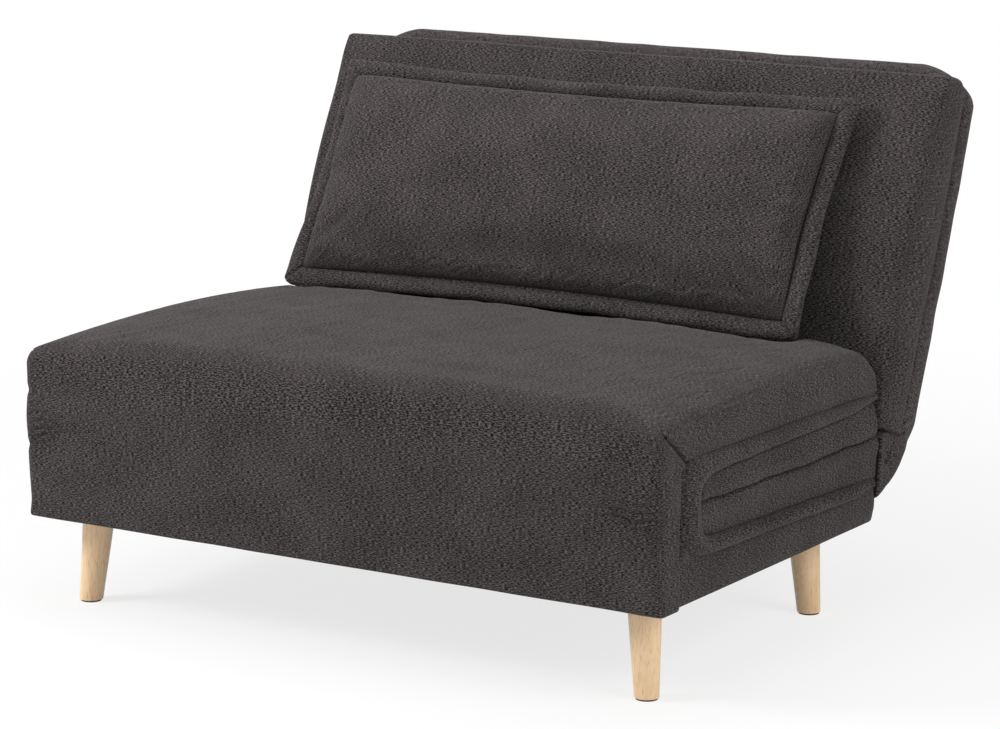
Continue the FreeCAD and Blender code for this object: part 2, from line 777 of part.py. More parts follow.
def make_rear_leg():
    """A folding steel leg frame in the recess behind the backrest, with its brackets and bolts."""
    panel_rear = back_pad_thickness + back_frame_depth + fabric_gap + rear_panel_thickness
    bracket_rear = panel_rear + rear_bracket_thickness
    y = panel_rear + rear_bracket_thickness + rear_tube_radius + rear_bracket_thickness
    reach = crease_z - y - foot_floor_gap
    bar_z = rear_leg_height - reach + rear_foot_height + rear_tube_radius
    x = rear_leg_half_span
    tail = Vector(x, y, rear_leg_height + rear_tube_tail)
    end = Vector(x, y, bar_z + rear_tube_radius)
    tube = rod(tail, end, rear_tube_radius).cut(rod(tail, end, rear_tube_radius - rear_tube_wall))
    ear_inner = rear_tube_radius + side_gap
    ear_outer = ear_inner + rear_bracket_thickness
    pivot = Vector(x, y, rear_leg_height)
    past_ear = Vector(ear_outer + overrun, 0, 0)
    bolt_hole = rod(pivot - past_ear, pivot + past_ear, rear_bolt_radius + running_gap)
    tube = tube.cut(bolt_hole)
    bar_reach = x + rear_tube_radius
    bar = rod(Vector(-bar_reach, y, bar_z), Vector(bar_reach, y, bar_z), rear_tube_radius)
    save("rear_leg_post_right", leaned(tube))
    save("rear_leg_post_left", leaned(mirrored(tube)))
    feet = block((x - rear_bracket_length, x), (y - rear_tube_radius, y + rear_tube_radius),
                 (bar_z - rear_tube_radius - rear_foot_height, bar_z))
    feet = feet.cut(bar)
    save("rear_leg_crossbar", leaned(bar))
    save("rear_leg_feet", leaned(pair(feet)))
    half = rear_bracket_length * half_share
    bracket = block((x - ear_outer, x + ear_outer), (panel_rear, y + rear_tube_radius),
                    (rear_leg_height - half, rear_leg_height + half))
    room = block((x - ear_inner, x + ear_inner), (bracket_rear, y + rear_tube_radius + overrun),
                 (rear_leg_height - half - overrun, rear_leg_height + half + overrun))
    bracket = bracket.cut(room)
    bracket = bracket.cut(bolt_hole)
    save("rear_leg_brackets", leaned(pair(bracket)))
    ears = Vector(ear_outer, 0, 0)
    bolt = rod(pivot - ears, pivot + ears, rear_bolt_radius)
    save("rear_leg_pivot_bolts", leaned(pair(bolt)))


# Fabric gusset at the rear fold

def back_point(height, thickness):
    """A point of the leaning backrest in the side view, as (y, z)."""
    return (rear_crease_y + height * math.sin(lean) + thickness * math.cos(lean),
            crease_z + height * math.cos(lean) - thickness * math.sin(lean))


def make_gusset():
    """The folded fabric between the base's rear and the backrest's bottom edge."""
    top_front = back_point(-back_start, roll_half_depth)
    top_rear = back_point(-back_start, roll_back_centre)
    low_rear = back_point(-rail_thickness, roll_back_centre)
    front = depth(base_depth) + fabric_gap
    outline = (top_front, top_rear, low_rear, (front + rail_thickness, base_top_z),
               (front, base_top_z - rail_thickness), (front, top_front[1]))
    gusset = prism(outline, (-panel_half_width, panel_half_width))
    inner, outer = slot_sides()
    slot_end = back_point(0, roll_back_centre + roll_radius)[0]
    slot = block((inner, outer), (front, slot_end), (base_bottom_z, crease_z))
    save("rear_fold_gusset", gusset.cut(slot).cut(mirrored(slot)))


# Loose cushion, drawn upright round its middle plane

def flange_outline(y, inset):
    """The flange's outline at one depth: sides drawn in between rounded corners."""
    half_width = cushion_width * half_share - inset
    low = inset
    high = cushion_height - inset
    corner = cushion_corner_round
    half_height = (low + high) * half_share
    pull = cushion_draw_in
    turns = ((half_width, low), (half_width, high), (-half_width, high), (-half_width, low))
    sides = (Vector(half_width - pull, y, half_height), Vector(0, y, high - pull),
             Vector(-half_width + pull, y, half_height), Vector(0, y, low + pull))
    edges = []
    for index, (x, z) in enumerate(turns):
        across = Vector(math.copysign(corner, x), 0, 0)
        along = Vector(0, 0, math.copysign(corner, z - half_height))
        point = Vector(x, y, z)
        before, after = (point - across, point - along) if index % 2 == 0 else (point - along, point - across)
        next_x, next_z = turns[(index + 1) % len(turns)]
        next_point = Vector(next_x, y, next_z)
        following = next_point - along * -1 if index % 2 == 0 else next_point + across
        edges.append(arc(before, corner_middle(before, point, after), after))
        edges.append(arc(after, sides[index], following))
    return Part.Wire(edges)


def make_flange():
    """The padded flange, with a round outer edge."""
    inset = cushion_flange_half_thickness * cushion_shoulder_share
    thick = cushion_flange_half_thickness
    outlines = [flange_outline(-thick, inset), flange_outline(0, 0), flange_outline(thick, inset)]
    return Part.makeLoft(outlines, True, False)


def cushion_section(x, front, rear, margin):
    """The stuffed body's outline at one place across the width: a lens between two seams."""
    low = margin
    high = cushion_height - margin
    rise = (high - low) * (1 - cushion_shoulder_place_share) * half_share
    a = Vector(x, 0, low)
    b = Vector(x, 0, high)
    front_low = Vector(x, -front * cushion_shoulder_share, low + rise)
    front_high = Vector(x, -front * cushion_shoulder_share, high - rise)
    rear_low = Vector(x, rear * cushion_shoulder_share, low + rise)
    rear_high = Vector(x, rear * cushion_shoulder_share, high - rise)
    half_height = (low + high) * half_share
    front_mid = Vector(x, -front, half_height)
    rear_mid = Vector(x, rear, half_height)
    edges = [side_arc(a, front_low, -1), arc(front_low, front_mid, front_high), side_arc(front_high, b, -1),
             side_arc(b, rear_high, 1), arc(rear_high, rear_mid, rear_low), side_arc(rear_low, a, 1)]
    return Part.Wire(edges)


def side_arc(start, end, towards):
    """A full-bodied arc that bulges out between a seam and a shoulder."""
    chord = (start + end) * half_share
    span = (end - start).Length
    bulge = span * quarter_arc_share * quarter_arc_share * half_share
    return arc(start, chord + Vector(0, towards * bulge, 0), end)


def make_cushion():
    """The loose back cushion: a crowned body inside a wide padded flange."""
    body_half = cushion_width * half_share - cushion_flange
    wires = []
    for share in swell_shares:
        across, height = swell(abs(share))
        fullness = cushion_end_share + (1 - cushion_end_share) * height
        wires.append(cushion_section(math.copysign(across, share) * body_half, cushion_front_crown * fullness,
                                     cushion_rear_crown * fullness, cushion_flange))
    body = Part.makeLoft(wires, True, False)
    cushion = make_flange().fuse(body)
    cushion.rotate(middle, right, -cushion_lean_deg)
    cushion.translate(Vector(cushion_shift_x, depth(cushion_foot_depth), cushion_foot_z))
    save("back_cushion", cushion)


os.makedirs("parts", exist_ok=True)
make_legs()
make_dust_cover()
make_base()
make_lower_mattress()
make_border_rolls()
make_seat_pad()
make_seat()
make_fold_hinges()
make_foot_legs()
make_back_pad()
make_back_frame()
make_back_rolls()
make_recline_hinges()
make_rear_leg()
make_gusset()
make_cushion()
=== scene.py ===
"""Single sofa bed in charcoal melange cloth: its covers, border rolls, loose cushion and wooden legs.

Everything is in metres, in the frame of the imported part: the floor is z = 0, the front faces -Y and X is the
width. A depth is counted back from the front crease. Backrest pieces are drawn upright on the rear crease, as
(across, thickness, height), and then leaned back as a whole; the loose cushion is drawn upright too.
"""
import json
import logging
import math
from dataclasses import dataclass, field
from enum import Enum
from typing import ClassVar

import bpy
import numpy as np
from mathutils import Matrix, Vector

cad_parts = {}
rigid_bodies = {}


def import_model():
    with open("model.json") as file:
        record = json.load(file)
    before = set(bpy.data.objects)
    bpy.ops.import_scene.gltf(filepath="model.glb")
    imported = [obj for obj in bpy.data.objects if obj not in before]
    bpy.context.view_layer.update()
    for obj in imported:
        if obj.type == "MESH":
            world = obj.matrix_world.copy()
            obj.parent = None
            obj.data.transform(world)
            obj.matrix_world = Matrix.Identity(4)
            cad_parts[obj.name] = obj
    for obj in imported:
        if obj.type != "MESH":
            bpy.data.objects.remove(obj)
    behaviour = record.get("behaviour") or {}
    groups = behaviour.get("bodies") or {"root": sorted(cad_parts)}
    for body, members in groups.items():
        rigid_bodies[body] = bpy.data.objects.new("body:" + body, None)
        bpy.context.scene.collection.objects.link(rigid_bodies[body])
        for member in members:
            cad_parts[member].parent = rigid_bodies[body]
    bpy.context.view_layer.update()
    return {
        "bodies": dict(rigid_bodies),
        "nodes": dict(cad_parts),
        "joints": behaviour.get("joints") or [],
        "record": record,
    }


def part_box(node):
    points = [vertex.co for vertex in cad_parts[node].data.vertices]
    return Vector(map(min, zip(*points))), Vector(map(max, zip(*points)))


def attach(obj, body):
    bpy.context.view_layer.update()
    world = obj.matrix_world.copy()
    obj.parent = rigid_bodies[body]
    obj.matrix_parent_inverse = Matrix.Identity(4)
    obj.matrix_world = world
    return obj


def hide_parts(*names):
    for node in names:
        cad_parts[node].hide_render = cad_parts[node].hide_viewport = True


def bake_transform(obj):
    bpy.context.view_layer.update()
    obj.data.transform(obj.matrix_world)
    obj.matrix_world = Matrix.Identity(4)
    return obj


LOG = logging.getLogger("sofa_bed")
UV_NAME = "UVMap"
COVER_CREASE = math.radians(40)
ROLL_CREASE = math.radians(60)
Array = np.ndarray
Piece = bpy.types.Object
Socket = bpy.types.NodeSocket
Span = tuple[float, float]
Triple = tuple[float, float, float]
Rgb = Triple
Hump = Triple
FlatLine = tuple[Span, ...]
Group = tuple[bpy.types.NodeTree, dict[str, str]]


class Body(Enum):
    """The frame's bodies that carry new pieces."""

    BASE = "base"
    SEAT = "seat"
    BACKREST = "backrest"
    CUSHION = "cushion"


class Slot(Enum):
    """The record's material slots for the new pieces' finishes. Nothing in the script uses them."""

    UPHOLSTERY = "upholstery"
    CUSHION = "cushion_fabric"
    STEEL = "plated_steel"


# Numbers that change smoothly

def ease(low: float, high: float, value: Array) -> Array:
    """A smooth step from 0 at low to 1 at high."""
    share = np.clip((value - low) / (high - low), 0, 1)
    return share * share * (3 - 2 * share)


def bell(value: Array, centre: float, width: float) -> Array:
    """A smooth hump of height 1 round a centre."""
    return np.exp(-((value - centre) / width) ** 2)


def mix(first: Array, second: Array, share: Array) -> Array:
    """The value between two others at a share of the way."""
    return first + (second - first) * share


def humps(value: Array, *each: Hump) -> Array:
    """The sum of smooth humps, each given as its height, its centre and its width."""
    return sum(height * bell(value, centre, width) for height, centre, width in each)


def read_off(line: FlatLine, value: Array) -> Array:
    """The second value of a line of pairs, read off where the first has some value."""
    return np.interp(value, *zip(*line))


def spread(start: float, *runs: Span) -> Array:
    """Lattice lines from a start through runs of (end, spacing).

    Args:
        start: The first line.
        runs: Where each run ends, and about how far apart its lines lie.

    Returns:
        The places of all the lines, in order.
    """
    lines = [start]
    for end, step in runs:
        count = max(1, round(abs(end - lines[-1]) / step))
        lines.extend(np.linspace(lines[-1], end, count + 1)[1:])
    return np.array(lines)


def both_sides(half: Array) -> Array:
    """Lattice lines for both halves of a width, from those of one half that starts at 0."""
    return np.concatenate([-half[::-1], half[1:]])


def rounded_path(points: Array, rounds: int) -> Array:
    """A line of points with its corners cut off again and again, which leaves a smooth curve.

    Args:
        points: The corner points, of which the first and last stay.
        rounds: How many times the corners are cut.

    Returns:
        The points of the smooth curve.
    """
    for _ in range(rounds):
        near = mix(points[:-1], points[1:], 0.25)
        far = mix(points[:-1], points[1:], 0.75)
        cut = np.stack([near, far], 1).reshape(-1, points.shape[1])
        points = np.concatenate([points[:1], cut[1:-1], points[-1:]])
    return points


def lengths_along(line: Array) -> Array:
    """How far along a line each of its points lies."""
    return np.concatenate([[0], np.cumsum(np.linalg.norm(np.diff(line, axis=0), axis=1))])


def places_along(wanted: Array, run: Array, rows: Array) -> Array:
    """Read rows of values off at some lengths along a line.

    Args:
        wanted: The lengths to read at.
        run: How far along each row belongs.
        rows: The values, such as the line's points.

    Returns:
        One row for each wanted length.
    """
    return np.stack([np.interp(wanted, run, rows[:, axis]) for axis in range(rows.shape[1])], 1)


def resampled(points: Array, step: float) -> Array:
    """The same line with its points evenly spaced.

    Args:
        points: The line's points.
        step: About how far apart the new ones lie.

    Returns:
        The evenly spaced points.
    """
    run = lengths_along(points)
    return places_along(np.linspace(0, run[-1], max(2, round(run[-1] / step)) + 1), run, points)


def line_distance(points: Array, line: Array) -> Array:
    """How far each flat point lies from a line of flat points.

    Args:
        points: The points.
        line: The line's points.

    Returns:
        A distance for each point.
    """
    nearest = np.full(len(points), np.inf)
    for start, end in zip(line[:-1], line[1:]):
        along = end - start
        share = np.clip(((points - start) @ along) / (along @ along), 0, 1)
        nearest = np.minimum(nearest, np.linalg.norm(points - start - share[:, None] * along, axis=1))
    return nearest


@dataclass(frozen=True)
class Ripple:
    """The seeded unevenness of cloth over padding: waves of about one length in many directions."""

    seed: int
    wavelength: float
    waves: int = 14

    def at(self, points: Array, stretch: Triple = (1, 1, 1)) -> Array:
        """The unevenness at some points.

        Args:
            points: Places as rows of x, y and z.
            stretch: Above 1 the waves are shorter along that axis.

        Returns:
            A value for each point, about -1 to 1.
        """
        random = np.random.default_rng(self.seed)
        ways = random.normal(size=(self.waves, 3))
        ways /= np.linalg.norm(ways, axis=1)[:, None]
        ways *= (2 * math.pi / self.wavelength * random.uniform(0.6, 1.5, self.waves))[:, None]
        phases = random.uniform(0, 2 * math.pi, self.waves)
        return np.sin((points * np.array(stretch)) @ ways.T + phases).sum(1) / math.sqrt(self.waves)


# Meshes

@dataclass
class Lattice:
    """Lines in three directions whose outer points make one closed surface of six gridded faces."""

    xs: Array
    ys: Array
    zs: Array
    points: Array = field(init=False)
    faces: Array = field(init=False)
    uvs: Array = field(init=False)

    def __post_init__(self) -> None:
        """Find the outer points, the faces between them and each face corner's place on the cloth."""
        sizes = (len(self.xs), len(self.ys), len(self.zs))
        index = np.indices(sizes)
        outer = np.zeros(sizes, bool)
        for axis, size in enumerate(sizes):
            outer |= (index[axis] == 0) | (index[axis] == size - 1)
        number = np.full(sizes, -1)
        number[outer] = np.arange(outer.sum())
        grid = np.stack(np.meshgrid(self.xs, self.ys, self.zs, indexing="ij"), -1)
        self.points = grid[outer]
        low, high = grid[0, 0, 0], grid[-1, -1, -1]
        depth, top = grid[..., 1] - low[1], high[2] + grid[..., 1] - low[1]
        sides = (
            (number[0], (-1, grid[0, ..., 0] - depth[0], grid[0, ..., 2])),
            (number[-1], (1, grid[-1, ..., 0] + depth[-1], grid[-1, ..., 2])),
            (number[:, 0], (1, grid[:, 0, :, 0], grid[:, 0, :, 2])),
            (number[:, -1], (-1, grid[:, -1, :, 0], 2 * high[2] + high[1] - low[1] - grid[:, -1, :, 2])),
            (number[:, :, 0], (-1, grid[:, :, 0, 0], low[2] - depth[:, :, 0])),
            (number[:, :, -1], (1, grid[:, :, -1, 0], top[:, :, -1])),
        )
        faces, uvs = [], []
        for numbers, (turn, across, along) in sides:
            spot = np.stack([across, along], -1)
            order = ((0, 0), (1, 0), (1, 1), (0, 1)) if turn > 0 else ((0, 0), (0, 1), (1, 1), (1, 0))
            rows, columns = numbers.shape
            corners = [(slice(a, rows - 1 + a), slice(b, columns - 1 + b)) for a, b in order]
            faces.append(np.stack([numbers[c] for c in corners], -1).reshape(-1, 4))
            uvs.append(np.stack([spot[c] for c in corners], 2).reshape(-1, 2))
        self.faces = np.concatenate(faces)
        self.uvs = np.concatenate(uvs)


def soften(points: Array, low: Array, high: Array, radii: Array) -> Array:
    """Round a box's edges and corners, by a radius for each point and axis.

    Args:
        points: Points on the box's faces.
        low: The box's lowest corner, or one for each point.
        high: The box's highest corner, or one for each point.
        radii: How far in the rounding starts along each axis, for each point.

    Returns:
        The points moved onto the rounded box.
    """
    radii = np.maximum(radii, 1e-6)
    centre = np.clip(points, low + radii, high - radii)
    offset = (points - centre) / radii
    length = np.linalg.norm(offset, axis=1)[:, None]
    return centre + offset * radii / np.maximum(length, 1)


def linked(name: str, data: bpy.types.ID) -> Piece:
    """A new object, linked to the scene.

    Args:
        name: The object's name.
        data: The mesh, lamp or camera that it holds.

    Returns:
        The object.
    """
    thing = bpy.data.objects.new(name, data)
    bpy.context.scene.collection.objects.link(thing)
    return thing


def read_points(mesh: bpy.types.Mesh) -> Array:
    """A mesh's points, as rows of x, y and z.

    Args:
        mesh: The mesh to read.

    Returns:
        Its points, in single precision.
    """
    points = np.empty(len(mesh.vertices) * 3, np.float32)
    mesh.vertices.foreach_get("co", points)
    return points.reshape(-1, 3)


def write_points(mesh: bpy.types.Mesh, points: Array) -> None:
    """Move a mesh's points to new places."""
    mesh.vertices.foreach_set("co", points.astype(np.float32).ravel())


def write_cloth_map(mesh: bpy.types.Mesh, spots: Array) -> None:
    """Give each face corner of a mesh its place on the cloth, in metres."""
    layer = mesh.uv_layers.get(UV_NAME) or mesh.uv_layers.new(name=UV_NAME)
    layer.data.foreach_set("uv", spots.astype(np.float32).ravel())


def make_mesh(name: str, points: Array, faces: Array, uvs: Array | None = None,
              finish: "Finish | None" = None) -> Piece:
    """A new piece from its points and faces, smooth up to a crease angle.

    Args:
        name: The piece's name.
        points: Its points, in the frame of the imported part.
        faces: The point numbers of each face, facing outwards.
        uvs: The cloth place of each face corner, in metres.
        finish: What the piece is dressed in, if that is known yet.

    Returns:
        The piece, linked to the scene.
    """
    mesh = bpy.data.meshes.new(name)
    mesh.from_pydata(points.tolist(), [], faces.tolist())
    if uvs is not None:
        write_cloth_map(mesh, uvs)
    mesh.shade_smooth()
    mesh.set_sharp_from_angle(angle=COVER_CREASE)
    if finish:
        mesh.materials.append(finish.material())
    return linked(name, mesh)


def baked(piece: Piece) -> Piece:
    """Make the result of a piece's modifiers its own mesh, and take the modifiers off.

    Args:
        piece: The piece with its modifiers.

    Returns:
        The same piece, with a plain mesh.
    """
    graph = bpy.context.evaluated_depsgraph_get()
    shown = piece.evaluated_get(graph)
    mesh = bpy.data.meshes.new_from_object(shown, preserve_all_data_layers=True, depsgraph=graph)
    piece.modifiers.clear()
    piece.data = mesh
    return piece


# Node trees

class Tree:
    """A short way to build a node tree."""

    def __init__(self, tree: bpy.types.NodeTree) -> None:
        """Start from an empty tree."""
        self.tree = tree
        tree.nodes.clear()

    def add(self, kind: str, inputs: dict | None = None, **settings: object) -> bpy.types.Node:
        """Add a node.

        Args:
            kind: The node's type name.
            inputs: Sockets by name or number, each with a plain value or the output that feeds it.
            settings: The node's own properties.

        Returns:
            The new node.
        """
        node = self.tree.nodes.new(kind)
        for name, value in settings.items():
            setattr(node, name, value)
        for name, value in (inputs or {}).items():
            if isinstance(value, bpy.types.NodeSocket):
                self.feed(node, name, value)
            else:
                node.inputs[name].default_value = value
        return node

    def feed(self, node: bpy.types.Node, name: str | int, output: Socket) -> None:
        """Join an output to a node's input."""
        self.tree.links.new(output, node.inputs[name])

    def math(self, operation: str, first: object, second: object = 0.0, third: object = 0.0) -> Socket:
        """The result of a sum on numbers or outputs."""
        return self.add("ShaderNodeMath", {0: first, 1: second, 2: third}, operation=operation).outputs[0]

    def vector(self, operation: str, first: object, second: object = (0, 0, 0)) -> bpy.types.Node:
        """A sum on vectors."""
        return self.add("ShaderNodeVectorMath", {0: first, 1: second}, operation=operation)

    def noise(self, place: Socket, scale: Triple, detail: float, roughness: float = 0.5, swirl: float = 0.0,
              dimensions: str = "3D") -> Socket:
        """Noise with a fineness of its own along each axis.

        Args:
            place: Where the noise is read.
            scale: How many grains go to a metre along each axis.
            detail: How many finer layers lie on top.
            roughness: How strong the finer layers are.
            swirl: How far the noise is bent out of its lines.
            dimensions: Flat or solid, in the node's own words.

        Returns:
            The noise, about 0 to 1.
        """
        placed = self.add("ShaderNodeMapping", {"Vector": place, "Scale": scale})
        inputs = {"Vector": placed.outputs[0], "Scale": 1.0, "Detail": detail, "Roughness": roughness,
                  "Distortion": swirl}
        return self.add("ShaderNodeTexNoise", inputs, noise_dimensions=dimensions).outputs[0]


@dataclass(frozen=True)
class Finish:
    """What every finish has: a name, and a shader on top of its own nodes."""

    name: str
    roughness: float

    def material(self) -> bpy.types.Material:
        """The finish as a material, made once.

        Returns:
            The material.
        """
        known = bpy.data.materials.get(self.name)
        if known:
            return known
        material = bpy.data.materials.new(self.name)
        material.use_nodes = True
        tree = Tree(material.node_tree)
        shader = tree.add("ShaderNodeBsdfPrincipled", {"Roughness": self.roughness})
        self.dress(tree, shader)
        tree.add("ShaderNodeOutputMaterial", {"Surface": shader.outputs[0]})
        return material

    def dress(self, tree: Tree, shader: bpy.types.Node) -> None:
        """Feed the shader. Each kind of finish does this its own way."""

    def bump(self, tree: Tree, shader: bpy.types.Node, height: Socket, distance: float,
             strength: float) -> None:
        """Raise the surface by a height pattern."""
        node = tree.add("ShaderNodeBump", {"Height": height, "Distance": distance, "Strength": strength})
        tree.feed(shader, "Normal", node.outputs[0])

    def ramp(self, tree: Tree, value: Socket, stops: tuple[tuple[float, Rgb], ...]) -> Socket:
        """Colours along a value.

        Args:
            tree: The tree to add to.
            value: What runs along the ramp.
            stops: Places on the ramp and their colours.

        Returns:
            The colour output.
        """
        node = tree.add("ShaderNodeValToRGB", {0: value})
        while len(node.color_ramp.elements) < len(stops):
            node.color_ramp.elements.new(1)
        for element, (place, colour) in zip(node.color_ramp.elements, stops):
            element.position = place
            element.color = (*colour, 1)
        return node.outputs[0]


@dataclass(frozen=True)
class Melange(Finish):
    """Woven cloth of mixed dark and paler yarn, on the piece's own cloth map in metres."""

    dark: Rgb = (0.0045, 0.0038, 0.0038)
    middle: Rgb = (0.0325, 0.0277, 0.0274)
    pale: Rgb = (0.1150, 0.1000, 0.0985)
    stops: Triple = (0.42, 0.53, 0.65)
    fleck_long: float = 0.0054
    fleck_short: float = 0.0010
    warp_shorter: float = 1.6
    patch_scale: Triple = (9, 13, 1)
    yarn_pitch: float = 0.0016
    bias_deg: float = 0.0
    weft_share: float = 0.78
    warp_share: float = 0.14
    patch_share: float = 0.08
    weave_share: float = 0.06
    rib_share: float = 0.0
    noise_roughness: float = 0.6
    specular: float = 0.10
    sheen: float = 0.05
    sheen_roughness: float = 0.55
    relief: float = 0.0001
    relief_strength: float = 0.035
    relief_shares: Span = (0.7, 0.3)

    def dress(self, tree: Tree, shader: bpy.types.Node) -> None:
        """Flecks along the weft, finer ones along the warp, a plain weave's relief and a soft sheen.

        Args:
            tree: The material's tree.
            shader: The shader to feed.
        """
        shader.inputs["Specular IOR Level"].default_value = self.specular
        shader.inputs["Sheen Weight"].default_value = self.sheen
        shader.inputs["Sheen Roughness"].default_value = self.sheen_roughness
        cloth = tree.add("ShaderNodeUVMap", uv_map=UV_NAME).outputs[0]
        bias = (0, 0, math.radians(self.bias_deg))
        plane = tree.add("ShaderNodeMapping", {"Vector": cloth, "Rotation": bias}).outputs[0]
        weft = self.flecks(tree, plane, (1 / self.fleck_long, 1 / self.fleck_short, 1), 1.0)
        warp = self.flecks(tree, plane, (1 / self.fleck_short, self.warp_shorter / self.fleck_long, 1), 0.0)
        patches = self.flecks(tree, plane, self.patch_scale, 2.0)
        weave = self.weave(tree, plane)
        mixed = tree.math("MULTIPLY_ADD", weft, self.weft_share, tree.math("MULTIPLY", warp, self.warp_share))
        mixed = tree.math("MULTIPLY_ADD", patches, self.patch_share, mixed)
        mixed = tree.math("MULTIPLY_ADD", weave, self.weave_share + self.rib_share, mixed)
        colour = self.ramp(tree, mixed, tuple(zip(self.stops, (self.dark, self.middle, self.pale))))
        tree.feed(shader, "Base Color", colour)
        from_weave, from_warp = self.relief_shares
        height = tree.math("MULTIPLY_ADD", weave, from_weave, tree.math("MULTIPLY", warp, from_warp))
        self.bump(tree, shader, height, self.relief, self.relief_strength)

    def flecks(self, tree: Tree, plane: Socket, scale: Triple, detail: float) -> Socket:
        """Streaky noise with one size along each direction of the cloth."""
        return tree.noise(plane, scale, detail, self.noise_roughness, dimensions="2D")

    def weave(self, tree: Tree, plane: Socket) -> Socket:
        """The over and under of a plain weave, or the slanted ribs of cloth cut on the bias.

        Args:
            tree: The material's tree.
            plane: The place on the cloth.

        Returns:
            The weave's height, 0 to 1.
        """
        parts = tree.add("ShaderNodeSeparateXYZ", {0: plane})
        turn = math.pi / self.yarn_pitch
        across = tree.math("SINE", tree.math("MULTIPLY", parts.outputs[0], turn))
        along = tree.math("SINE", tree.math("MULTIPLY", parts.outputs[1], turn))
        wave = along if self.rib_share else tree.math("MULTIPLY", across, along)
        return tree.math("MULTIPLY_ADD", wave, 0.5, 0.5)


@dataclass(frozen=True)
class Wood(Finish):
    """Pale varnished wood, its grain along the legs."""

    pale: Rgb = (0.880, 0.630, 0.385)
    tan: Rgb = (0.790, 0.520, 0.290)
    brown: Rgb = (0.500, 0.285, 0.140)
    stops: Triple = (0.34, 0.5, 0.66)
    coat: float = 0.15
    coat_roughness: float = 0.3
    figure_scale: Triple = (34, 34, 3.2)
    figure_swirl: float = 0.8
    fibre_scale: Triple = (420, 420, 14)
    pore_scale: Triple = (900, 900, 60)
    figure_share: float = 0.7
    fibre_share: float = 0.3
    pore_band: Span = (0.66, 0.74)
    pore_dark: float = 0.55
    relief: float = 0.0003
    relief_strength: float = 0.3

    def dress(self, tree: Tree, shader: bpy.types.Node) -> None:
        """Long soft figure, fine pores and a thin clear coat.

        Args:
            tree: The material's tree.
            shader: The shader to feed.
        """
        shader.inputs["Coat Weight"].default_value = self.coat
        shader.inputs["Coat Roughness"].default_value = self.coat_roughness
        place = tree.add("ShaderNodeTexCoord").outputs["Object"]
        figure = tree.noise(place, self.figure_scale, 3.0, swirl=self.figure_swirl)
        fibre = tree.noise(place, self.fibre_scale, 2.0)
        pores = tree.noise(place, self.pore_scale, 0.0)
        fibres = tree.math("MULTIPLY", fibre, self.fibre_share)
        tone = tree.math("MULTIPLY_ADD", figure, self.figure_share, fibres)
        colour = self.ramp(tree, tone, tuple(zip(self.stops, (self.tan, self.pale, self.tan))))
        low, high = self.pore_band
        dots = tree.add("ShaderNodeMapRange", {0: pores, 1: low, 2: high, 3: 0.0, 4: self.pore_dark})
        dots = dots.outputs[0]
        mixed = tree.add("ShaderNodeMix", {0: dots, 6: colour, 7: (*self.brown, 1)}, data_type="RGBA")
        tree.feed(shader, "Base Color", mixed.outputs[2])
        self.bump(tree, shader, tree.math("SUBTRACT", fibre, dots), self.relief, self.relief_strength)


@dataclass(frozen=True)
class Speckled(Finish):
    """Paint, plating, plastic, rough timber or felt: one colour broken up by fine grain and soft patches."""

    colour: Rgb
    worn: Rgb
    scale: Triple
    metallic: float = 0.0
    relief: float = 0.0002
    relief_strength: float = 0.4
    patch_scale: float = 14.0
    shares: Span = (0.6, 0.4)
    stops: Span = (0.38, 0.6)
    tone_band: Span = (0.3, 0.7)
    roughness_band: Span = (0.8, 1.2)

    def dress(self, tree: Tree, shader: bpy.types.Node) -> None:
        """Fine grain over larger patches, in colour, roughness and relief.

        Args:
            tree: The material's tree.
            shader: The shader to feed.
        """
        shader.inputs["Metallic"].default_value = self.metallic
        place = tree.add("ShaderNodeTexCoord").outputs["Object"]
        fine = tree.noise(place, self.scale, 3.0)
        patch = tree.add("ShaderNodeTexNoise", {"Vector": place, "Scale": self.patch_scale, "Detail": 2.0})
        of_fine, of_patch = self.shares
        patches = tree.math("MULTIPLY", patch.outputs[0], of_patch)
        tone = tree.math("MULTIPLY_ADD", fine, of_fine, patches)
        colour = self.ramp(tree, tone, tuple(zip(self.stops, (self.worn, self.colour))))
        tree.feed(shader, "Base Color", colour)
        smooth, rough = (self.roughness * share for share in self.roughness_band)
        low, high = self.tone_band
        ranged = tree.add("ShaderNodeMapRange", {0: tone, 1: low, 2: high, 3: smooth, 4: min(1.0, rough)})
        tree.feed(shader, "Roughness", ranged.outputs[0])
        self.bump(tree, shader, fine, self.relief, self.relief_strength)


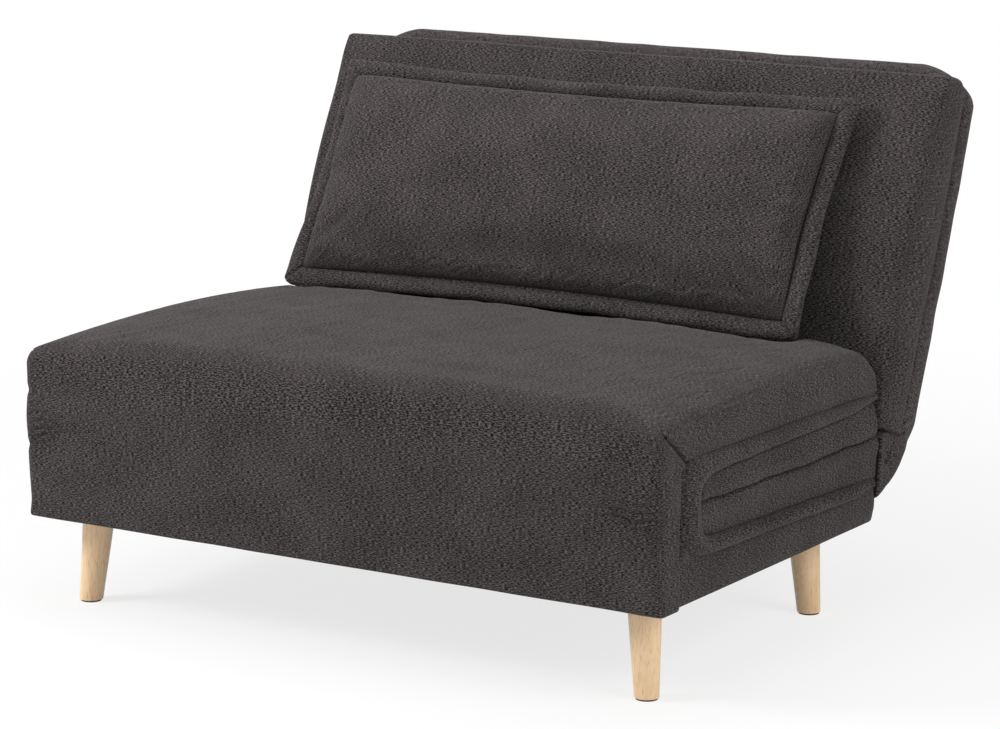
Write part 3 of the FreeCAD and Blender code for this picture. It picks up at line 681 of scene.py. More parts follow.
CLOTH = Melange("charcoal_melange", 0.93)
CUSHION_CLOTH = Melange("charcoal_melange_cushion", 0.93, middle=(0.0360, 0.0306, 0.0303),
                        pale=(0.126, 0.110, 0.108))
BIAS_CLOTH = Melange("charcoal_melange_bias", 0.93, fleck_long=0.0066, bias_deg=52, rib_share=0.10)
# Painted shade: the recline hinges are plated steel in the record, but are made black so they read as the
# shadowed gap they sit in.
RECLINE_GAP_SHADE = Speckled("black_zinc_plate", 0.55, (0.045, 0.045, 0.047), (0.030, 0.030, 0.031),
                         (160, 160, 160), metallic=0.5, relief=0.0001)
FRAME_FINISHES = {
    "leg_wood": Wood("pale_leg_wood", 0.42),
    "glide": Speckled("glide_felt", 0.9, (0.150, 0.118, 0.090), (0.090, 0.070, 0.054), (900, 900, 900)),
    "plated_steel": Speckled("zinc_plate", 0.34, (0.62, 0.62, 0.60), (0.46, 0.46, 0.45), (160, 160, 160),
                             metallic=1.0, relief=0.0001),
    "frame_timber": Speckled("frame_plywood", 0.75, (0.60, 0.44, 0.28), (0.46, 0.31, 0.18), (18, 260, 260)),
    "dust_cloth": Speckled("dust_cloth_felt", 0.95, (0.030, 0.030, 0.031), (0.012, 0.012, 0.012),
                           (700, 700, 700)),
    "tube_paint": Speckled("powder_coat", 0.5, (0.050, 0.050, 0.052), (0.035, 0.035, 0.036),
                           (1200, 1200, 1200)),
    "cap_plastic": Speckled("cap_plastic", 0.45, (0.020, 0.020, 0.020), (0.012, 0.012, 0.012),
                            (800, 800, 800)),
}


# Geometry Nodes

def geometry_group(name: str, inputs: dict[str, tuple[str, object]]) -> Group:
    """An empty Geometry Nodes group with its sockets.

    Args:
        name: The group's name.
        inputs: The kind and the first value of each input after the geometry, by name.

    Returns:
        The group, and each input's identifier by name.
    """
    group = bpy.data.node_groups.new(name, "GeometryNodeTree")
    group.interface.new_socket("Geometry", in_out="INPUT", socket_type="NodeSocketGeometry")
    identifiers = {}
    for label, (kind, value) in inputs.items():
        socket = group.interface.new_socket(label, in_out="INPUT", socket_type=f"NodeSocket{kind}")
        if value is not None:
            socket.default_value = value
        identifiers[label] = socket.identifier
    group.interface.new_socket("Geometry", in_out="OUTPUT", socket_type="NodeSocketGeometry")
    return group, identifiers


def end_group(tree: Tree, geometry: Socket, material: Socket) -> None:
    """End a group's tree: instances made real, their material set, and the result sent out.

    Args:
        tree: The group's tree.
        geometry: What it has made.
        material: The material for it.
    """
    real = tree.add("GeometryNodeRealizeInstances", {0: geometry})
    dressed = tree.add("GeometryNodeSetMaterial", {0: real.outputs[0], "Material": material})
    tree.add("NodeGroupOutput", {0: dressed.outputs[0]})


def grown(piece: Piece, group: bpy.types.NodeTree, inputs: dict[str, object]) -> Piece:
    """Run a node group on a piece and keep the result as its mesh.

    Args:
        piece: The piece that the group starts from.
        group: The group.
        inputs: The group's inputs, by identifier.

    Returns:
        The same piece, with a plain mesh.
    """
    modifier = piece.modifiers.new(group.name, "NODES")
    modifier.node_group = group
    for identifier, value in inputs.items():
        modifier[identifier] = value
    return baked(piece)


class RollSweep:
    """Sweeps a soft oval along a path whose points say how wide and how thick the roll is there."""

    POINTS_ROUND = 24
    GIRTH = 0.09

    def __init__(self) -> None:
        """Build the tree once."""
        self.group, self.identifiers = geometry_group("border_roll_sweep", {
            "Points round": ("Int", self.POINTS_ROUND), "Girth": ("Float", self.GIRTH),
            "Cloth": ("Material", None)})
        tree = Tree(self.group)
        start = tree.add("NodeGroupInput")
        path = tree.add("GeometryNodeMeshToCurve", {0: start.outputs["Geometry"]})
        ring = tree.add("GeometryNodeCurvePrimitiveCircle",
                        {"Resolution": start.outputs["Points round"], "Radius": 1.0})
        tube = tree.add("GeometryNodeCurveToMesh",
                        {0: path.outputs[0], "Profile Curve": ring.outputs[0], "Fill Caps": True})
        ways = ("centre", "across", "side")
        centre, across, side = (self.named(tree, way, "FLOAT_VECTOR") for way in ways)
        place = tree.add("GeometryNodeInputPosition").outputs[0]
        offset = tree.vector("SUBTRACT", place, centre).outputs[0]
        thick = tree.vector("DOT_PRODUCT", offset, across).outputs["Value"]
        wide = tree.vector("DOT_PRODUCT", offset, side).outputs["Value"]
        turned = self.unrolled(tree, wide, thick, start.outputs["Girth"])
        spot = tree.add("ShaderNodeCombineXYZ", {0: self.named(tree, "run", "FLOAT"), 1: turned})
        mapped = tree.add("GeometryNodeStoreNamedAttribute",
                          {"Geometry": tube.outputs[0], "Name": UV_NAME, "Value": spot.outputs[0]},
                          data_type="FLOAT2", domain="CORNER")
        thick = tree.math("MULTIPLY", thick, self.named(tree, "half_depth", "FLOAT"))
        wide = tree.math("MULTIPLY", wide, self.named(tree, "half_width", "FLOAT"))
        thick = tree.add("ShaderNodeVectorMath", {0: across, "Scale": thick}, operation="SCALE").outputs[0]
        wide = tree.add("ShaderNodeVectorMath", {0: side, "Scale": wide}, operation="SCALE").outputs[0]
        shaped = tree.vector("ADD", centre, tree.vector("ADD", thick, wide).outputs[0]).outputs[0]
        moved = tree.add("GeometryNodeSetPosition", {0: mapped.outputs[0], "Position": shaped})
        end_group(tree, moved.outputs[0], start.outputs["Cloth"])

    @staticmethod
    def named(tree: Tree, name: str, kind: str) -> Socket:
        """The output of a named attribute."""
        return tree.add("GeometryNodeInputNamedAttribute", {"Name": name}, data_type=kind).outputs[0]

    @staticmethod
    def unrolled(tree: Tree, wide: Socket, thick: Socket, girth: Socket) -> Socket:
        """Each face corner's place round the roll, counted on from its face's middle, so no face is split.

        Args:
            tree: The group's tree.
            wide: The corner's place across the ring, square to the path.
            thick: Its place across the ring, along the direction across.
            girth: The cloth's length round the roll.

        Returns:
            The length round the roll at each corner.
        """
        pair = tree.add("ShaderNodeCombineXYZ", {0: wide, 1: thick}).outputs[0]
        middle = tree.add("GeometryNodeFieldOnDomain", {"Value": pair}, data_type="FLOAT_VECTOR",
                          domain="FACE")
        parts = tree.add("ShaderNodeSeparateXYZ", {0: middle.outputs[0]})
        face = tree.math("ARCTAN2", parts.outputs[1], parts.outputs[0])
        corner = tree.math("ARCTAN2", thick, wide)
        step = tree.math("WRAP", tree.math("SUBTRACT", corner, face), math.pi, -math.pi)
        turn = tree.math("MULTIPLY", tree.math("ADD", face, step), 0.5 / math.pi)
        return tree.math("MULTIPLY", turn, girth)

    def make(self, name: str, path: Array, half_width: Array, half_depth: Array, across: Triple,
             cloth: Finish, girth: float = GIRTH) -> Piece:
        """One roll.

        Args:
            name: The piece's name.
            path: The middle line, as rows of x, y and z.
            half_width: Half the roll's size square to the path, at each point.
            half_depth: Half its size along the direction across, at each point.
            across: The unit direction that half_depth is measured in.
            cloth: The roll's finish.
            girth: The cloth's length round the roll.

        Returns:
            The roll as a plain mesh.
        """
        count = len(path)
        ahead = np.pad(path, ((1, 1), (0, 0)), mode="edge")
        level = np.broadcast_to(across, (count, 3))
        side = np.cross(level, ahead[2:] - ahead[:-2])
        side /= np.linalg.norm(side, axis=1)[:, None]
        mesh = bpy.data.meshes.new(name)
        mesh.from_pydata(path.tolist(), [(i, i + 1) for i in range(count - 1)], [])
        numbers = {"half_width": half_width, "half_depth": half_depth, "run": lengths_along(path)}
        for key, values in numbers.items():
            layer = mesh.attributes.new(key, "FLOAT", "POINT")
            layer.data.foreach_set("value", np.broadcast_to(values, (count,)).astype(np.float32))
        ways = {"centre": path, "across": level, "side": side}
        for key, values in ways.items():
            layer = mesh.attributes.new(key, "FLOAT_VECTOR", "POINT")
            layer.data.foreach_set("vector", values.astype(np.float32).ravel())
        settings = (self.POINTS_ROUND, girth, cloth.material())
        roll = grown(linked(name, mesh), self.group, dict(zip(self.identifiers.values(), settings)))
        for key in (*numbers, *ways):
            layer = roll.data.attributes.get(key)
            if layer:
                roll.data.attributes.remove(layer)
        roll.data.shade_smooth()
        roll.data.set_sharp_from_angle(angle=ROLL_CREASE)
        return roll


# The sofa bed's main places

@dataclass(frozen=True)
class Places:
    """Where the frame has its creases and how wide its layers are. Seams are lines of (along, value)."""

    front_y: float
    rear_crease_y: float
    crease_z: float
    lean: float = math.radians(21)
    wrap_x: float = 0.566
    box_x: float = 0.5565
    layer_x: float = 0.5570
    base_depth: float = 0.681
    seat_depth: float = 0.677
    turn_depth: float = 0.146
    turn_z: float = 0.262
    turn_size: Span = (0.085, 0.056)
    front_seam: FlatLine = ((0.262, 0.061), (0.274, 0.061), (0.311, 0.068), (0.351, 0.075), (0.40, 0.082))
    low_seam: FlatLine = ((0.146, 0.206), (0.70, 0.1905))
    high_seam: FlatLine = ((0.075, 0.3525), (0.677, 0.346))

    def u_inside(self, depth: Array, z: Array) -> Array:
        """How far a point of the side lies inside the outline of the folded mattress: a U on its side.

        Args:
            depth: Behind the front crease.
            z: Height.

        Returns:
            A distance, below 0 outside.
        """
        wide, high = self.turn_size
        ahead, below = depth < self.turn_depth, z < self.turn_z
        front = depth - read_off(self.front_seam, z)
        turn = np.hypot((self.turn_depth - depth) / wide, (self.turn_z - z) / high)
        corner = np.where(ahead & below, (1 - turn) * high, front)
        over_low = z - read_off(self.low_seam, depth)
        under_high = read_off(self.high_seam, depth) - z
        lower = np.minimum(corner, np.where(ahead, 1, over_low))
        return np.minimum(np.where(below, lower, front), under_high)

    def leaned(self, points: Array) -> Array:
        """Set backrest points in their leaning place.

        Args:
            points: Points drawn as (x, thickness, height) on the rear crease.

        Returns:
            The same points in the frame.
        """
        sin, cos = math.sin(self.lean), math.cos(self.lean)
        x, thick, height = points.T
        return np.stack([x, self.rear_crease_y + height * sin + thick * cos,
                         self.crease_z + height * cos - thick * sin], 1)


def declare(piece: Piece, body: Body,
            replaced: tuple[str, ...] = ()) -> None:
    """Tell the frame what a finished piece rides on and stands for.

    Args:
        piece: The piece, its mesh final.
        body: The body it moves with.
        replaced: The solids that it stands for.
    """
    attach(piece, body.value)
    finish_piece(piece, replaced)


def finish_piece(piece: Piece, replaced: tuple[str, ...]) -> None:
    """Hide the solids that a placed piece stands for, and log how many points it has.

    Args:
        piece: The piece, its body already told.
        replaced: The solids that it stands for.
    """
    if replaced:
        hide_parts(*replaced)
    LOG.info("%s: %d points", piece.name, len(piece.data.vertices))


@dataclass
class Covers:
    """What the base's and the seat's covers share: the front panel, its wrap at the corners, the layers.

    Widths, depths and heights are lattice lines, as the end and the spacing of each run. A hump is its
    height, its centre and its width. A span is where something starts and where it is complete, and a height
    with a width is where something lies and how far it reaches.
    """

    name: ClassVar[str]
    widths: ClassVar[FlatLine]
    depths: ClassVar[FlatLine]
    heights: ClassVar[FlatLine]
    places: Places
    bottom_z: float = 0.1405
    front_swell: float = 0.0026
    front_fall: float = 0.0065
    panel_half: float = 0.125
    panel_depth: float = 0.030
    panel_ripple: float = 0.0007
    panel_ripple_span: Span = (0.01, 0.06)
    corner_round: float = 0.017
    crease_round: float = 0.0006
    gather: float = 0.0021
    gather_pitch: float = 0.0115
    gather_height: Span = (0.287, 0.050)
    gather_reach: float = 0.035
    gather_span: Span = (0.470, 0.546)
    gather_end: Span = (0.548, 0.564)
    gather_wobble: Span = (1.6, 9)
    lobe_humps: tuple[Hump, ...] = ((0.0022, 0.300, 0.024), (-0.0030, 0.3425, 0.007),
                                    (-0.0030, 0.2570, 0.007))
    lobe_end: Span = (0.035, 0.055)
    lower_lip: Hump = (0.0050, 0.264, 0.017)
    upper_lip: Hump = (0.0065, 0.297, 0.015)
    slit_depth: float = 0.0065
    lower_slit: Span = (0.2782, 0.2818)
    upper_slit: Span = (0.2822, 0.2855)
    roll_pinch: Hump = (0.0050, 0, 0.0026)
    layer_span: Span = (-0.0030, 0.0020)
    hang: float = 0.0070
    hang_depth: Span = (0.10, 0.50)
    hang_waves: tuple[Hump, ...] = ((0.0011, 31, 0.6), (0.0008, 74, 0))
    hang_height: float = 0.020
    hang_side: Span = (0.50, 0.545)
    hang_start: Span = (0.09, 0.14)
    unevenness: Ripple = Ripple(3, 0.16)
    creasing: Ripple = Ripple(11, 0.045)

    def build(self) -> Piece:
        """Make the cover's mesh on its lattice lines.

        Returns:
            The cover.
        """
        lattice = Lattice(both_sides(spread(0, *self.widths)), spread(0, *self.depths),
                          spread(self.bottom_z, *self.heights))
        return make_mesh(self.name, self.shaped(lattice.points), lattice.faces, lattice.uvs, CLOTH)

    def shaped(self, flat: Array) -> Array:
        """The lattice points moved to the cover's soft shape. Each cover does this its own way."""

    def panel(self, x: Array, z: Array) -> Array:
        """How far the front panel stands behind the crease plane: fullest at the crease, with its gathers.

        Args:
            x: Across.
            z: Height.

        Returns:
            The distance at each point.
        """
        rise = np.abs(z - self.places.crease_z) / self.panel_half
        swell = self.front_fall * np.clip(rise, 0, 1) ** 2 - self.front_swell
        points = np.stack([x, 0 * x, z], 1)
        away = ease(*self.panel_ripple_span, np.abs(z - self.places.crease_z))
        soft = self.panel_ripple * self.unevenness.at(points) * away
        return swell + soft + self.gathers(x, z)

    def gathers(self, x: Array, z: Array) -> Array:
        """Short level folds that run in from the sides of the front panel, strongest by the crease.

        Args:
            x: Across.
            z: Height.

        Returns:
            The folds' height at each point.
        """
        points = np.stack([x, 0 * x, z], 1)
        reach = self.gather_reach * self.creasing.at(points * np.array((0, 0, 1)))
        start = ease(*self.gather_span, np.abs(x) + reach)
        window = start * (1 - ease(*self.gather_end, np.abs(x))) * bell(z, *self.gather_height)
        uneven, across = self.gather_wobble
        wobble = uneven * self.unevenness.at(points, (3, 1, 2)) + across * x
        return self.gather * window * np.sin(2 * math.pi * z / self.gather_pitch + wobble)

    def lobes(self, depth: Array, z: Array) -> Array:
        """The soft bulge of the panel's ends between two pinches, one below and one above the crease."""
        return humps(z, *self.lobe_humps) * (1 - ease(*self.lobe_end, depth))

    def side_lips(self, z: Array) -> Array:
        """The layers' own swell between the rolls: a lip each side of the slit, hollows by the rolls.

        Args:
            z: Height.

        Returns:
            How far the side stands out at each point.
        """
        lower = humps(z, self.lower_lip) - self.slit_depth * ease(*self.lower_slit, z)
        upper = humps(z, self.upper_lip) - self.slit_depth * (1 - ease(*self.upper_slit, z))
        return np.where(z < self.places.crease_z, lower, upper)

    def half_across(self, plain: Array, depth: Array, z: Array) -> Array:
        """How far out the side stands: as the plain cover does, or inside the layers' outline as they do.

        Args:
            plain: How far out the plain cover stands.
            depth: Behind the front crease.
            z: Height.

        Returns:
            The distance from the middle, pinched where the layers are sewn to the border rolls' inner edge.
        """
        seam = rounded_path(np.array(BorderRolls.inner), BorderRolls.rounds)
        pinch = humps(line_distance(np.stack([depth, z], 1), seam), self.roll_pinch)
        inside = ease(*self.layer_span, self.places.u_inside(depth, z))
        return mix(plain, self.places.layer_x + self.side_lips(z) - pinch, inside)

    def sag(self, x: Array, depth: Array, z: Array) -> Array:
        """How far the layers' side edges hang below the crease plane, a little unevenly, towards the rear.

        Args:
            x: Across.
            depth: Behind the front crease.
            z: Height.

        Returns:
            A distance, below 0 where they hang.
        """
        hang = self.hang * ease(*self.hang_depth, depth)
        for height, turns, start in self.hang_waves:
            hang = hang + height * np.sin(depth * turns + start)
        window = bell(z, self.places.crease_z, self.hang_height) * ease(*self.hang_side, np.abs(x))
        return -hang * window * ease(*self.hang_start, depth)


@dataclass
class BaseCover(Covers):
    """The lower half of the front panel, the base box and the lower mattress layer, in one cover."""

    name = "base_cover"
    widths = ((0.36, 0.012), (0.47, 0.007), (0.544, 0.0045), (0.5495, 0.0013), (0.566, 0.0021))
    depths = ((0.018, 0.003), (0.036, 0.0045), (0.060, 0.0028), (0.135, 0.004), (0.30, 0.008), (0.62, 0.010),
              (0.640, 0.005), (0.681, 0.0028))
    heights = ((0.146, 0.0011), (0.172, 0.0045), (0.19, 0.003), (0.212, 0.0018), (0.236, 0.0022),
               (0.270, 0.0017), (0.2819, 0.0011))
    top_z: float = 0.2819
    wrap_depth: Span = (0.052, 0.066)
    wrap_height: Span = (0.20, 0.23)
    box_swell: Hump = (0.0022, 0.172, 0.022)
    box_swell_depth: Span = (0.05, 0.2)
    wrap_seam: Hump = (0.0016, 0.060, 0.0035)
    layer_seam: Hump = (0.0085, 0.0605, 0.0045)
    layers_height: Span = (0.205, 0.215)
    rear_depth: Span = (0.45, 0.6)
    rear_side: Span = (0.5490, 0.5540)
    box_z: float = 0.2
    layers_z: float = 0.21
    foot_round: float = 0.007
    foot_height: Span = (0.150, 0.175)
    edge_round: float = 0.006
    rear_round: float = 0.030
    rim: float = 0.0145
    rim_edge: float = 0.003
    bottom_recess: float = 0.0023
    recess_front: Span = (0.0635, 0.0665)
    recess_rear: Span = (0.636, 0.642)
    bottom_band: float = 0.0004

    def shaped(self, flat: Array) -> Array:
        """The lattice points moved to the cover's soft shape.

        Args:
            flat: The lattice points, as rows of x, depth and z.

        Returns:
            The cover's points in the frame.
        """
        x, depth, z = flat.T
        places = self.places
        below = 1 - ease(*self.wrap_height, z)
        plain = mix(np.full_like(x, places.wrap_x), places.box_x, ease(*self.wrap_depth, depth) * below)
        plain = plain + humps(z, self.box_swell) * ease(*self.box_swell_depth, depth)
        layers = ease(*self.layers_height, z)
        plain = plain - humps(depth, self.wrap_seam) * (1 - layers) + self.lobes(depth, z)
        plain = plain - humps(depth, self.layer_seam) * layers
        soft = soften(flat, np.array((-places.wrap_x, 0, self.bottom_z)),
                      np.array((places.wrap_x, places.base_depth, self.top_z + 1)), self.radii(x, depth, z))
        soft[:, 0] *= self.half_across(plain, depth, z) / places.wrap_x
        soft[:, 1] += (1 - ease(0.0, self.panel_depth, depth)) * self.panel(x, z)
        tucked = (ease(self.rim, self.rim + self.rim_edge, places.wrap_x - np.abs(x))
                  * ease(*self.recess_front, depth) * (1 - ease(*self.recess_rear, depth))
                  * (z < self.bottom_z + self.bottom_band))
        soft[:, 2] += self.bottom_recess * tucked + self.sag(x, depth, z)
        soft[:, 1] += places.front_y
        return soft

    def radii(self, x: Array, depth: Array, z: Array) -> Array:
        """How round the edges are: soft in front, and rounder still at the box's rear corners.

        Args:
            x: Across.
            depth: Behind the front crease.
            z: Height.

        Returns:
            A radius for each point and axis.
        """
        rear = ease(*self.rear_depth, depth)
        outside = rear * ease(*self.rear_side, np.abs(x) * self.places.box_x / self.places.wrap_x)
        corner = mix(self.foot_round, self.corner_round, ease(*self.foot_height, z))
        ends = mix(self.corner_round, self.edge_round, rear)
        return np.stack([
            mix(corner, self.edge_round, rear),
            mix(ends, self.rear_round, outside * (z < self.box_z)),
            np.where(z > self.layers_z, self.crease_round, mix(self.edge_round, self.rear_round, outside)),
        ], 1)


@dataclass
class SeatCover(Covers):
    """The upper half of the front panel, the crowned seat top and the upper mattress layer, in one cover."""

    name = "seat_cover"
    widths = ((0.38, 0.012), (0.405, 0.006), (0.425, 0.003), (0.50, 0.006), (0.566, 0.003))
    depths = ((0.081, 0.0013), (0.135, 0.004), (0.30, 0.009), (0.60, 0.011), (0.645, 0.006), (0.655, 0.0025),
              (0.677, 0.003))
    heights = ((0.294, 0.0011), (0.322, 0.0019), (0.334, 0.003), (0.345, 0.0025), (0.404, 0.0013))
    bottom_z: float = 0.2821
    side_z: float = 0.404
    wall_x: float = 0.5600
    wall_lift: float = 0.0012
    wall_swell: Hump = (0.0035, 0.378, 0.022)
    wall_depth: Span = (0.040, 0.115)
    layer_seam: Hump = (0.0075, 0.0640, 0.0045)
    layer_seam_end: Span = (0.335, 0.350)
    upper_height: Span = (0.335, 0.392)
    rear_depth: Span = (0.30, 0.45)
    front_round: Span = (0.044, 0.018)
    front_round_side: Span = (0.47, 0.56)
    side_round: Span = (0.011, 0.034)
    rear_round: Span = (0.010, 0.030)
    low_z: float = 0.30
    crown: float = 0.043
    crown_powers: Span = (3.6, 2.3)
    lift_z: float = 0.345
    front_fall_z: float = 0.012
    rear_fall_z: float = 0.018
    top_ripple: float = 0.0022
    top_stretch: float = 0.5
    top_creases: float = 0.0007
    top_edge: float = 0.1
    pressed: float = 0.013
    pressed_x: float = -0.035
    pressed_half: float = 0.500
    pressed_edge: float = 0.05
    pressed_depth: Span = (0.545, 0.615)
    upper_panel: float = 0.6
    seam: FlatLine = ((0.001, 0.412), (0.020, 0.396), (0.038, 0.381), (0.056, 0.366), (0.075, 0.351))
    seam_groove: Hump = (0.0075, 0, 0.0024)
    seam_side: float = 0.52
    seam_start: Span = (0.002, 0.024)
    pocket_half: float = 0.414
    pocket_edges: Span = (0.004, 0.012)
    pocket_height: Span = (0.3235, 0.3260)
    pocket_start: Span = (0.60, 0.655)
    pocket_depth: float = 0.0262

    def shaped(self, flat: Array) -> Array:
        """The lattice points moved to the cover's soft shape.

        Args:
            flat: The lattice points, as rows of x, depth and z.

        Returns:
            The cover's points in the frame.
        """
        x, depth, z = flat.T
        places = self.places
        wall = self.wall_lift + humps(z, self.wall_swell)
        plain = mix(np.full_like(x, places.wrap_x), self.wall_x + wall, ease(*self.wall_depth, depth))
        low = 1 - ease(*self.layer_seam_end, z)
        plain = plain - humps(depth, self.layer_seam) * low + self.lobes(depth, z)
        upper = ease(*self.upper_height, z)
        high = np.array((places.wrap_x, places.seat_depth, self.side_z))
        soft = soften(flat, np.array((-places.wrap_x, 0, self.bottom_z - 1)), high,
                      self.radii(x, depth, z, upper))
        soft[:, 0] *= self.half_across(plain, depth, z) / places.wrap_x
        lift = ease(self.lift_z, self.side_z, z)
        pressed_x = ease(self.pressed_half - self.pressed_edge, self.pressed_half, np.abs(x - self.pressed_x))
        pressed = ease(*self.pressed_depth, depth) * (1 - pressed_x)
        soft[:, 2] += lift * self.top(x, depth, soft[:, 0])
        soft[:, 2] += self.sag(x, depth, z) - self.pressed * lift * pressed
        front = (1 - ease(0.0, self.panel_depth, depth)) * (1 - self.upper_panel * upper)
        soft[:, 1] += front * self.panel(x, z)
        beside = line_distance(soft[:, 1:], rounded_path(np.array(self.seam), 2))
        groove = humps(beside, self.seam_groove) * (np.abs(x) > self.seam_side)
        soft[:, 0] -= np.sign(x) * (groove * ease(*self.seam_start, depth))
        inner, outer = self.pocket_edges
        pocket = 1 - ease(self.pocket_half - inner, self.pocket_half + outer, np.abs(x))
        pocket = pocket * ease(*self.pocket_height, z)
        soft[:, 1] -= self.pocket_depth * pocket * ease(*self.pocket_start, depth)
        soft[:, 1] += places.front_y
        return soft

    def top(self, x: Array, depth: Array, across: Array) -> Array:
        """The seat top's height over its side edge: crowned, lower to the front and rear, a little uneven.

        Args:
            x: Across, on the lattice.
            depth: Behind the front crease.
            across: Across, on the soft shape.

        Returns:
            The height at each point.
        """
        share = np.clip(np.abs(across) / self.places.wrap_x, 0, 1)
        flat_power, edge_power = self.crown_powers
        crowned = self.crown * (1 - share ** flat_power) ** (1 / edge_power)
        middle = self.places.seat_depth / 2
        reach = (depth - middle) / middle
        fall = np.where(reach < 0, self.front_fall_z, self.rear_fall_z) * reach ** 2
        points = np.stack([x, depth, 0 * x], 1)
        ripple = self.top_ripple * self.unevenness.at(points * self.top_stretch)
        ripple = ripple + self.top_creases * self.creasing.at(points)
        return crowned - fall + ripple * ease(0.0, self.top_edge, self.places.wrap_x - np.abs(x))

    def radii(self, x: Array, depth: Array, z: Array, upper: Array) -> Array:
        """How round the edges are: roundest along the top, tighter at the front corners.

        Args:
            x: Across.
            depth: Behind the front crease.
            z: Height.
            upper: From 0 at the layers to 1 at the top.

        Returns:
            A radius for each point and axis.
        """
        rear = ease(*self.rear_depth, depth)
        front_round = mix(*self.front_round, ease(*self.front_round_side, np.abs(x)))
        rear_low, rear_high = self.rear_round
        front_edge = mix(self.corner_round, front_round, upper)
        return np.stack([
            mix(self.corner_round, mix(*self.side_round, rear), upper),
            mix(front_edge, mix(rear_low, rear_high, upper), rear),
            np.where(z < self.low_z, self.crease_round, mix(front_round, rear_high, rear)),
        ], 1)


@dataclass
class BorderRolls:
    """The band round each side of the folded mattress: along both layers and round the front turn."""

    rounds: ClassVar[int] = 3
    places: Places
    sweep: RollSweep
    half_depth: float = 0.0172
    inset: float = 0.0006
    tuck: float = 0.0105
    tuck_start: float = 0.575
    tuck_thinning: Span = (0.4, 0.3)
    rear_depth: float = 0.672
    end_gap: float = 0.0001
    step: float = 0.004
    unevenness: float = 0.035
    unevenness_seed: int = 21
    unevenness_length: float = 0.07
    outer: FlatLine = (
        (0.676, 0.190), (0.50, 0.196), (0.30, 0.2015), (0.18, 0.2045), (0.128, 0.206), (0.088, 0.215),
        (0.065, 0.238), (0.059, 0.262), (0.062, 0.290), (0.068, 0.318), (0.072, 0.343), (0.088, 0.3535),
        (0.13, 0.3535), (0.30, 0.3515), (0.50, 0.3488), (0.677, 0.3465))
    inner: FlatLine = (
        (0.676, 0.209), (0.50, 0.2155), (0.30, 0.2225), (0.20, 0.2255), (0.160, 0.2275), (0.135, 0.2335),
        (0.122, 0.245), (0.117, 0.260), (0.116, 0.273), (0.116, 0.288), (0.120, 0.302), (0.134, 0.3165),
        (0.165, 0.3225), (0.30, 0.3235), (0.50, 0.326), (0.677, 0.328))

    def build(self) -> list[tuple[Piece, Body, str]]:
        """Make the four rolls.

        Returns:
            Each roll with its body and the solid that it stands for.
        """
        outer = resampled(rounded_path(np.array(self.outer), self.rounds), self.step)
        inner = rounded_path(np.array(self.inner), self.rounds)
        inner = places_along(self.matched(outer, inner), lengths_along(inner), inner)
        middle = (outer + inner) / 2
        half_width = np.linalg.norm(outer - inner, axis=1) / 2
        thinner, narrower = self.tuck_thinning
        made = []
        for side, word in ((-1, "left"), (1, "right")):
            for body, layer, keep in ((Body.BASE, "lower", middle[:, 1] < self.places.crease_z),
                                      (Body.SEAT, "upper", middle[:, 1] > self.places.crease_z)):
                line, half = self.cut_at_crease(middle[keep], half_width[keep], body)
                ripple = Ripple(self.unevenness_seed + side, self.unevenness_length)
                wave = 1 + self.unevenness * ripple.at(np.pad(line, ((0, 0), (0, 1))))
                fade = ease(self.tuck_start, self.rear_depth, line[:, 0])
                x = side * (self.places.layer_x - self.inset - self.tuck * fade)
                path = np.stack([x, self.places.front_y + line[:, 0], line[:, 1]], 1)
                thick = (self.half_depth - thinner * self.tuck * fade) * wave
                wide = half * wave * (1 - narrower * fade)
                roll = self.sweep.make(f"{layer}_roll_{word}", path, wide, thick, (1, 0, 0), CLOTH)
                self.lay_flat(roll, path, wide, thick)
                made.append((roll, body, f"{layer}_border_roll_{word}"))
        return made

    @staticmethod
    def lay_flat(roll: Piece, path: Array, wide: Array, thick: Array) -> None:
        """Lay the cloth map out in the rolls' plane, so that flecks keep their size round the turn.

        Args:
            roll: The roll, its cloth map holding lengths along and round it.
            path: Its middle line.
            wide: Half its width along the line.
            thick: Half its depth along the line.
        """
        spots = np.empty(len(roll.data.loops) * 2, np.float32)
        roll.data.uv_layers[UV_NAME].data.foreach_get("uv", spots)
        along, turned = spots.reshape(-1, 2).T
        flat = path[:, 1:]
        run = lengths_along(flat)
        way = np.gradient(flat, axis=0)
        side = np.stack([-way[:, 1], way[:, 0]], 1) / np.linalg.norm(way, axis=1)[:, None]
        quarter = math.pi / 2 * np.sqrt((wide ** 2 + thick ** 2) / 2)
        share = 1 - 4 * np.abs(turned) / RollSweep.GIRTH
        out = share * np.where(share > 0, np.interp(along, run, quarter), np.interp(along, run, wide))
        beside = places_along(along, run, side) * out[:, None]
        write_cloth_map(roll.data, places_along(along, run, flat) + beside)

    @staticmethod
    def matched(outer: Array, inner: Array, tries: int = 900, window: int = 15) -> Array:
        """Find for each point of the outer edge its partner on the inner edge, by nearness, smoothed.

        Args:
            outer: The outer edge's points.
            inner: The inner edge's points.
            tries: How many places of the inner edge are looked at.
            window: Over how many neighbours the result is averaged.

        Returns:
            How far along the inner edge each partner lies.
        """
        run = lengths_along(inner)
        fine = np.linspace(0, run[-1], tries)
        places = places_along(fine, run, inner)
        nearest = np.array([fine[np.argmin(np.linalg.norm(places - point, axis=1))] for point in outer])
        nearest = np.pad(np.maximum.accumulate(nearest), window // 2, mode="edge")
        smooth = np.convolve(nearest, np.ones(window) / window, mode="valid")
        smooth[0], smooth[-1] = 0, run[-1]
        return smooth

